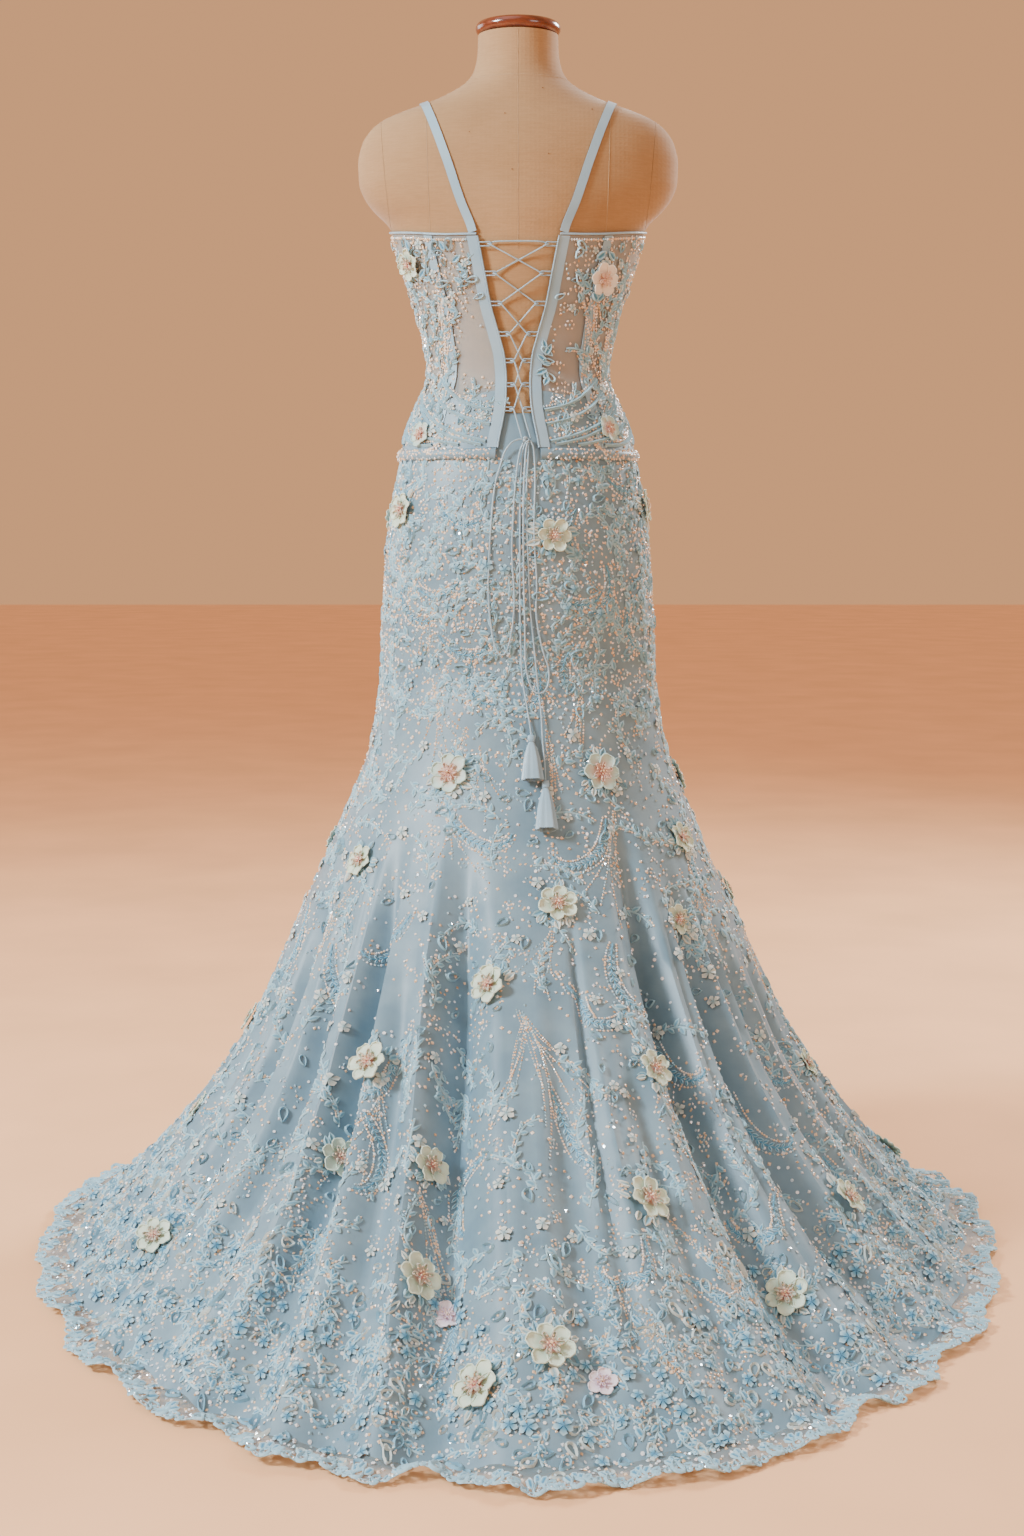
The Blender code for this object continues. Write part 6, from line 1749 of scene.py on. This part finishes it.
def skirt_embroidery(cloth):
    # vines, upright over the hips, looser and longer in the flare, crowded along the border
    beads = []
    for name, low, high, spacing, length, curl, chance, look in (
        ("vines_hip", 0.70, 1.05, 0.036, 0.062, (34, 90), 0.92, "lace"),
        ("vines_flare_high", 0.40, 0.70, 0.042, 0.075, (20, 60), 0.62, "lace"),
        ("vines_flare_low", 0.13, 0.40, 0.047, 0.080, (22, 60), 0.60, "lace"),
        ("vines_border", 0.010, 0.13, 0.034, 0.050, (34, 100), 0.95, "sky_lace"),
    ):
        places = spread(cloth, spacing, low, high, lambda t, h: chance * (1 - bare(t, h)))
        heading = RNG.normal(0, 0.8, len(places)) + np.where(RNG.random(len(places)) < 0.35, math.pi, 0)
        starts = np.column_stack([places, heading])
        beads.append(vines(cloth, name, starts, length, curl, look, VINE_LEAF, VINE_BEAD))
    beads = np.concatenate(beads)
    beads = beads[RNG.random(len(beads)) < 0.85]
    hand = np.array(BANDS, float)
    elsewhere = spread(cloth, 0.17, 0.10, 0.62, lambda t, h: np.where(np.abs(turn_gap(t, 0)) > 68, 0.9, 0))
    starts = np.column_stack([elsewhere, RNG.normal(math.pi, 0.7, len(elsewhere))])
    beads = np.concatenate([
        beads, bands(cloth, "bands_flare", np.concatenate([hand, starts]), 0.130, (10, 75), 5.5 * MM),
        bands(cloth, "bands_hip", np.array(HIP_BANDS, float), 0.080, (20, 100), 4.6 * MM),
    ])
    # sprigs and single beads
    places = spread(cloth, 0.0235, 0.0, 1.035, lambda t, h: bead_chance(t, h) * 0.85)
    angle = RNG.normal(0, 0.7, len(places))
    beads = np.concatenate([beads, sprigs(cloth, places, angle, SPRIG_BEAD)])
    fans = list(FANS) + all_round(cloth, 0.10, 1.0, 0.16, (0.08, 0.12))
    string_beads = fan_beads(cloth, fans)
    singles = spread(cloth, 0.0125, -0.03, 0.70, bead_chance)
    singles = np.concatenate([singles, spread(cloth, 0.0095, 0.70, 1.035, bead_chance)])
    size = SINGLE_BEAD * RNG.uniform(0.8, 1.25, len(singles))
    beads = np.concatenate([beads, seeds_from(singles, RNG.uniform(0, math.pi, len(singles)), size)])
    kinds = RNG.choice(3, len(beads), p=(0.56, 0.26, 0.18))
    region = region_of(beads[:, 0])
    for kind, look in enumerate(BEAD_LOOKS):
        for quarter in range(4):
            mine = beads[(kinds == kind) & (region == quarter)]
            joined(f"beads_{look}_{quarter}", [stamp(cloth, mine, BEAD)], look, "lace")
    half = RNG.random(len(string_beads)) < 0.55
    for mask, look in ((half, "pearl"), (~half, "sky_bead")):
        joined(f"bead_strings_{look}", [stamp(cloth, string_beads[mask], BEAD)], look, "lace")
    # sequins, thickest near the hem
    places = spread(cloth, 0.017, -0.03, 1.03, lambda t, h: 0.25 + 0.6 * (1 - smoothstep(0.05, 0.2, h)))
    seeds = seeds_from(places, RNG.uniform(0, 6, len(places)), RNG.uniform(3.2, 5.0, len(places)) * MM)
    joined("sequins_skirt", [stamp(cloth, seeds, SEQUIN, 0.3 * MM)], "crystal", "lace")
    # small rosettes and drops of cord
    for name, spacing, low, high, share, size, look in (
        ("rosettes_border", 0.033, -0.012, 0.12, 0.80, (13, 20), "sky_lace"),
        ("rosettes_flare", 0.060, 0.13, 0.70, 0.55, (12, 19), "pale_lace"),
        ("rosettes_hip", 0.046, 0.70, 1.03, 0.60, (12, 17), "lace"),
    ):
        places = spread(cloth, spacing, low, high, lambda t, h: np.full(len(t), share))
        seeds = seeds_from(places, RNG.uniform(0, 6, len(places)), RNG.uniform(*size, len(places)) * MM)
        hearts = seeds_from(places, 0.0, seeds[:, 3] * 0.24)
        stamped(name, cloth, look, (seeds, ROSETTE, 0.3 * MM))
        joined(f"{name}_hearts", [stamp(cloth, hearts, BEAD, 1.2 * MM)], "pearl", "lace")
    for name, spacing, low, high, share, look in (
        ("drops_border", 0.030, -0.015, 0.13, 0.9, "sky_lace"),
        ("drops_pale_border", 0.033, -0.02, 0.14, 0.85, "pale_lace"),
        ("drops_flare", 0.042, 0.13, 0.70, 0.5, "lace"), ("drops_hip", 0.030, 0.70, 1.03, 0.6, "lace"),
    ):
        places = spread(cloth, spacing, low, high, lambda t, h: share * (1 - 0.9 * bare(t, h)))
        length = RNG.uniform(11, 19, len(places)) * MM
        seeds = seeds_from(places, RNG.uniform(-2.2, 2.2, len(places)), length * 0.85, length)
        stamped(name, cloth, look, (seeds, DULL_LOOP))


EDGE_CORDS = (0.5 * MM, 0.95 * MM), (5.5 * MM, 0.7 * MM)      # how far in from the edge, and radius
EDGE_POINTS = 8                                               # of a cord to a scallop
EDGE_BEAD, FIELD_BEAD = 3.6 * MM, 4.2 * MM


def border_edge(cloth):
    """The corded edge of the border: two scalloped cords, with leaves, loops and beads in each scallop."""
    turns = np.arange(-180, 180, BORDER_TURN / EDGE_POINTS)
    middles = np.arange(SCALLOPS) * BORDER_TURN - 180 + BORDER_TURN / 2
    parts, reaches, beads = [], [], []

    def in_scallops(beside, inward):
        return np.column_stack([middles + beside * BORDER_TURN, np.full(SCALLOPS, -inward)])

    for inset, radius in EDGE_CORDS:
        line = cloth.lay(turns, -(scallop(turns) - inset), np.full(len(turns), 0.5 * MM))
        parts.append(tube(line, radius, 3, closed=True))
        reaches.append(np.full(len(parts[-1][0]), 0.9))
    for beside, inward, angle in ((0, 0.012, math.pi), (0.26, 0.017, 2.5), (-0.26, 0.017, -2.5)):
        length = RNG.uniform(14, 18, SCALLOPS) * MM
        angle = angle + RNG.normal(0, 0.12, SCALLOPS)
        seeds = seeds_from(in_scallops(beside, inward), angle, length * 0.62, length)
        parts.append(stamp(cloth, seeds, LEAF, 0.4 * MM))
        reaches.append(np.tile(LEAF[2], SCALLOPS))
    for beside, inward, size in ((0.5, 0.026, 13), (0, 0.022, 19), (0.28, 0.030, 12), (-0.28, 0.030, 12)):
        length = size * MM * RNG.uniform(0.85, 1.1, SCALLOPS)
        seeds = seeds_from(in_scallops(beside, inward), math.pi + beside * 2, length * 0.9, length)
        parts.append(stamp(cloth, seeds, BRIGHT_LOOP, 0.5 * MM))
        reaches.append(np.tile(BRIGHT_LOOP[2], SCALLOPS))
    joined("border_cords", parts, "sky_lace", "lace", reach=np.concatenate(reaches))
    for share in np.linspace(0, 1, 9)[:-1]:
        at = middles + (share - 0.5) * BORDER_TURN
        beads.append(seeds_from(np.column_stack([at, -(scallop(at) - 2.6 * MM)]), 0.0, EDGE_BEAD))
    for place in ((0, 0.031), (0.25, 0.028), (-0.25, 0.028), (0.5, 0.006), (0.5, 0.016)):
        beads.append(seeds_from(in_scallops(*place), 0.0, FIELD_BEAD))
    joined("border_beads", [stamp(cloth, np.concatenate(beads), BEAD, 0.4 * MM)], "crystal", "lace")


HAND_LEAVES = (
    # corded leaves of the corset's back: turn, height, angle from straight up, width and length mm
    (-16.5, 1.168, 0.5, 9, 17), (-17.5, 1.160, -0.9, 9, 16), (-18.0, 1.150, -2.0, 10, 18),
    (-15.5, 1.150, 2.8, 9, 16), (-20.5, 1.156, -1.3, 8, 14), (-16.8, 1.176, -0.3, 8, 14),
    (-19.0, 1.140, -2.6, 9, 15), (-40, 1.290, 0.8, 10, 16), (-52, 1.290, -0.8, 10, 17),
    (-50, 1.250, -2.4, 10, 17), (-42, 1.250, 2.5, 10, 16), (58, 1.270, 0.9, 10, 17),
    (68, 1.262, -0.6, 10, 17), (60, 1.305, -0.3, 9, 15), (36, 1.300, -0.5, 9, 15), (33, 1.285, 0.9, 9, 15),
)
HAND_LOOPS = (
    # corded loops among them, in the same way
    (-21, 1.168, -0.9, 11, 17), (-22.5, 1.160, -1.5, 10, 15), (-17, 1.146, 2.4, 11, 16),
    (34, 1.300, 0.0, 13, 15), (31, 1.276, 2.2, 11, 15), (27, 1.262, 1.4, 11, 15), (38, 1.262, -1.8, 12, 16),
    (-28, 1.290, 0.6, 12, 15), (-33, 1.300, -0.8, 12, 15), (-30, 1.270, 2.5, 11, 15), (24, 1.240, 1.2, 9, 13),
    (-25, 1.245, -2.0, 9, 13),
)
DRAPES = (
    # diagonal folds of lace on the lower corset: turn and height at the side, and near the opening
    (76, 1.118, 16, 1.056), (70, 1.104, 18, 1.052), (62, 1.128, 14.5, 1.078), (84, 1.096, 30, 1.052),
    (56, 1.140, 14, 1.096), (92, 1.078, 46, 1.052), (104, 1.110, 62, 1.054), (118, 1.120, 78, 1.054),
)


EDGE_CLEAR = 0.006                           # of the work from the top edge, in metres
OPENING_CLEAR = 8                            # and from the laced opening, in degrees
FINE_LEAF, FINE_BEAD = 11.0 * MM, 3.8 * MM
HEM_ROWS = (-5.8, 3.8), (-1.0, 3.4), (4.0, 3.8)    # of beads on the rolled hem: height and size in mm
TOP_ROW_BELOW, TOP_ROW_FROM = 4.5 * MM, 24         # the row under the top edge, and the turn where it starts


def inside_corset(turn, height):
    """1 on the corset, 0 beyond its edges."""
    beside = np.abs(turn_gap(turn, 0)) > opening_turns(height) + OPENING_CLEAR
    return np.where(beside & (height < corset_top(turn) - EDGE_CLEAR), 1, 0)


def corset_chance(share):
    """How likely a motif is at a place of the corset, which is nearly bare in the sheer part of the back."""
    def chance(turn, height):
        bare_back = (np.abs(turn_gap(turn, 0)) < 45) & (height > 1.115) & (height < 1.215)
        return inside_corset(turn, height) * np.where(bare_back, 0.16, 1.0) * share
    return chance


def corset_embroidery(cloth):
    beads = []
    places = spread(cloth, 0.030, 1.05, 1.34, corset_chance(1.0))
    starts = np.column_stack([places, RNG.normal(0, 0.5, len(places))])
    starts = starts[inside_corset(starts[:, 0], starts[:, 1] + 0.05) > 0]
    row = vines(cloth, "vines_corset", starts, 0.048, (30, 80), "lace", FINE_LEAF, FINE_BEAD)
    beads.append(row[inside_corset(row[:, 0], row[:, 1]) > 0])
    places = spread(cloth, 0.0180, 1.048, 1.36, corset_chance(0.85))
    beads.append(sprigs(cloth, places, RNG.normal(0, 0.35, len(places)), FINE_BEAD))
    places = spread(cloth, 0.0115, 1.048, 1.37, corset_chance(0.9))
    size = 4.0 * MM * RNG.uniform(0.8, 1.2, len(places))
    beads.append(seeds_from(places, RNG.uniform(0, 3, len(places)), size))
    fans = [(side * 33, 1.262, side * 0.35, 0.130, 0.22, 5) for side in (1, -1)]
    fans += [(side * 42, 1.285, side * 0.1, 0.140, 0.20, 6) for side in (1, -1)]
    fans += [(side * 30, 1.075, side * 0.9, 0.050, 0.3, 6) for side in (1, -1)]
    fans += [(side * turn, 1.24, 0.1, 0.110, 0.25, 6) for side in (1, -1) for turn in (70, 100, 135, 160)]
    beads.append(fan_beads(cloth, fans))
    share = np.linspace(0, 1, 26)
    drapes = np.array([
        np.stack([
            side * (start_turn + (end_turn - start_turn) * share),
            start + (end - start) * share - 0.008 * np.sin(share * math.pi),
        ], axis=-1)
        for side in (1, -1) for start_turn, start, end_turn, end in DRAPES
    ])
    points, faces = ribbons(cloth, drapes, 2.4 * MM)
    joined("draped_cords", [(points, faces)], "lace", "lace", reach=np.full(len(points), 0.7))
    beads.append(seeds_from((drapes + (0, 4.6 * MM)).reshape(-1, 2), 0.0, FINE_BEAD))
    turns = np.arange(14, 346, 1.3)
    for up, size in HEM_ROWS:
        drift = RNG.normal(up, 1.1, len(turns)) * MM
        rows = np.column_stack([turns + RNG.uniform(-0.5, 0.5, len(turns)), CORSET_HEM + drift])
        beads.append(seeds_from(rows[RNG.random(len(rows)) < 0.8], 0.0, size * MM))
    turns = turns[np.abs(turn_gap(turns, 0)) > TOP_ROW_FROM]
    beads.append(seeds_from(np.column_stack([turns, corset_top(turns) - TOP_ROW_BELOW]), 0.0, 4.0 * MM))
    beads = np.concatenate(beads)
    beads = beads[beads[:, 1] < corset_top(beads[:, 0]) - 2 * MM]
    kinds = RNG.choice(3, len(beads), p=(0.6, 0.28, 0.12))
    for kind, look in enumerate(BEAD_LOOKS):
        joined(f"beads_corset_{look}", [stamp(cloth, beads[kinds == kind], BEAD)], look, "lace")
    places = spread(cloth, 0.030, 1.06, 1.34, corset_chance(0.7))
    seeds = seeds_from(places, RNG.uniform(0, 6, len(places)), RNG.uniform(9, 15, len(places)) * MM)
    stamped("rosettes_corset", cloth, "pale_lace", (seeds, ROSETTE, 0.4 * MM))
    places = spread(cloth, 0.024, 1.05, 1.33, corset_chance(0.7))
    length = RNG.uniform(8, 14, len(places)) * MM
    seeds = seeds_from(places, RNG.uniform(-2, 2, len(places)), length * 0.85, length)
    stamped("drops_corset", cloth, "lace", (seeds, LOOP))
    leaves, loops = (np.array(rows) * (1, 1, 1, MM, MM) for rows in (HAND_LEAVES, HAND_LOOPS))
    stamped("corset_leaves", cloth, "sky_lace", (leaves, LEAF, 1.6 * MM), (loops, RIM_LOOP, 1.6 * MM))


def on_corset(turn, height):
    """How far above the corset's inner face its motifs lie: on the panels, the casings and the rolled hem."""
    across = np.abs(np.abs(turn_gap(turn, 0))[..., None] - (SIDE_BACK_TURN, SIDE_FRONT_TURN)).min(axis=-1)
    over_casing = 1.5 * MM * (1 - smoothstep(3.5, 6, across))
    return np.maximum(CORSET_WALL + 0.5 * MM + over_casing, band_lift(height))


def large_flowers(skirt_cloth, corset_cloth):
    for name, turn, height, radius, petals, look in SOLID_FLOWERS:
        cloth = corset_cloth if height > SKIRT_TOP else skirt_cloth
        flower_piece(name.replace("flower", "rose"), cloth, [(turn, height, radius, petals)], look, name)
    flower_piece("roses_skirt", skirt_cloth, SKIRT_FLOWERS, "petal")
    flower_piece("roses_hem_lilac", skirt_cloth, HEM_ROSES, "lilac_petal")
    flower_piece("roses_corset", corset_cloth, CORSET_FLOWERS[:2], "blush_petal")
    flower_piece("roses_corset_front", corset_cloth, CORSET_FLOWERS[2:], "petal")
    centres = [(t, h, r, p) for _, t, h, r, p, _ in SOLID_FLOWERS if h < SKIRT_TOP] + list(SKIRT_FLOWERS)
    for name, count, away, look in (
        ("leaves_round_roses", 7, 0.021, "lace"), ("pale_leaves_round_roses", 5, 0.023, "pale_lace"),
    ):
        rows = clusters(skirt_cloth, centres, away, count)
        length = RNG.uniform(11, 17, len(rows)) * MM
        stamped(name, skirt_cloth, look, (np.column_stack([rows, length * 0.66, length]), LEAF, 0.8 * MM))


# ---------------------------------------------------------------- all of it

camera()
LOOKS = make_looks()
hanging_lace()
crossed_lace()
loop_tapes()
studio()
dress_form()
form_tree = BVHTree.FromObject(bpy.data.objects["canvas_torso"], bpy.context.evaluated_depsgraph_get())
corset()
lower_corset()
straps(form_tree)
SKIRT_CLOTH = Cloth(cloth_point, np.arange(-180, 180.26, 0.5), np.arange(-0.044, 1.096, 0.004))
CORSET_CLOTH = Cloth(
    lambda turn, height: corset_point(turn, height, on_corset(turn, height)),
    np.arange(-180, 180.26, 0.75), np.arange(1.030, 1.382, 0.004),
)
skirt()
skirt_embroidery(SKIRT_CLOTH)
border_edge(SKIRT_CLOTH)
corset_embroidery(CORSET_CLOTH)
large_flowers(SKIRT_CLOTH, CORSET_CLOTH)
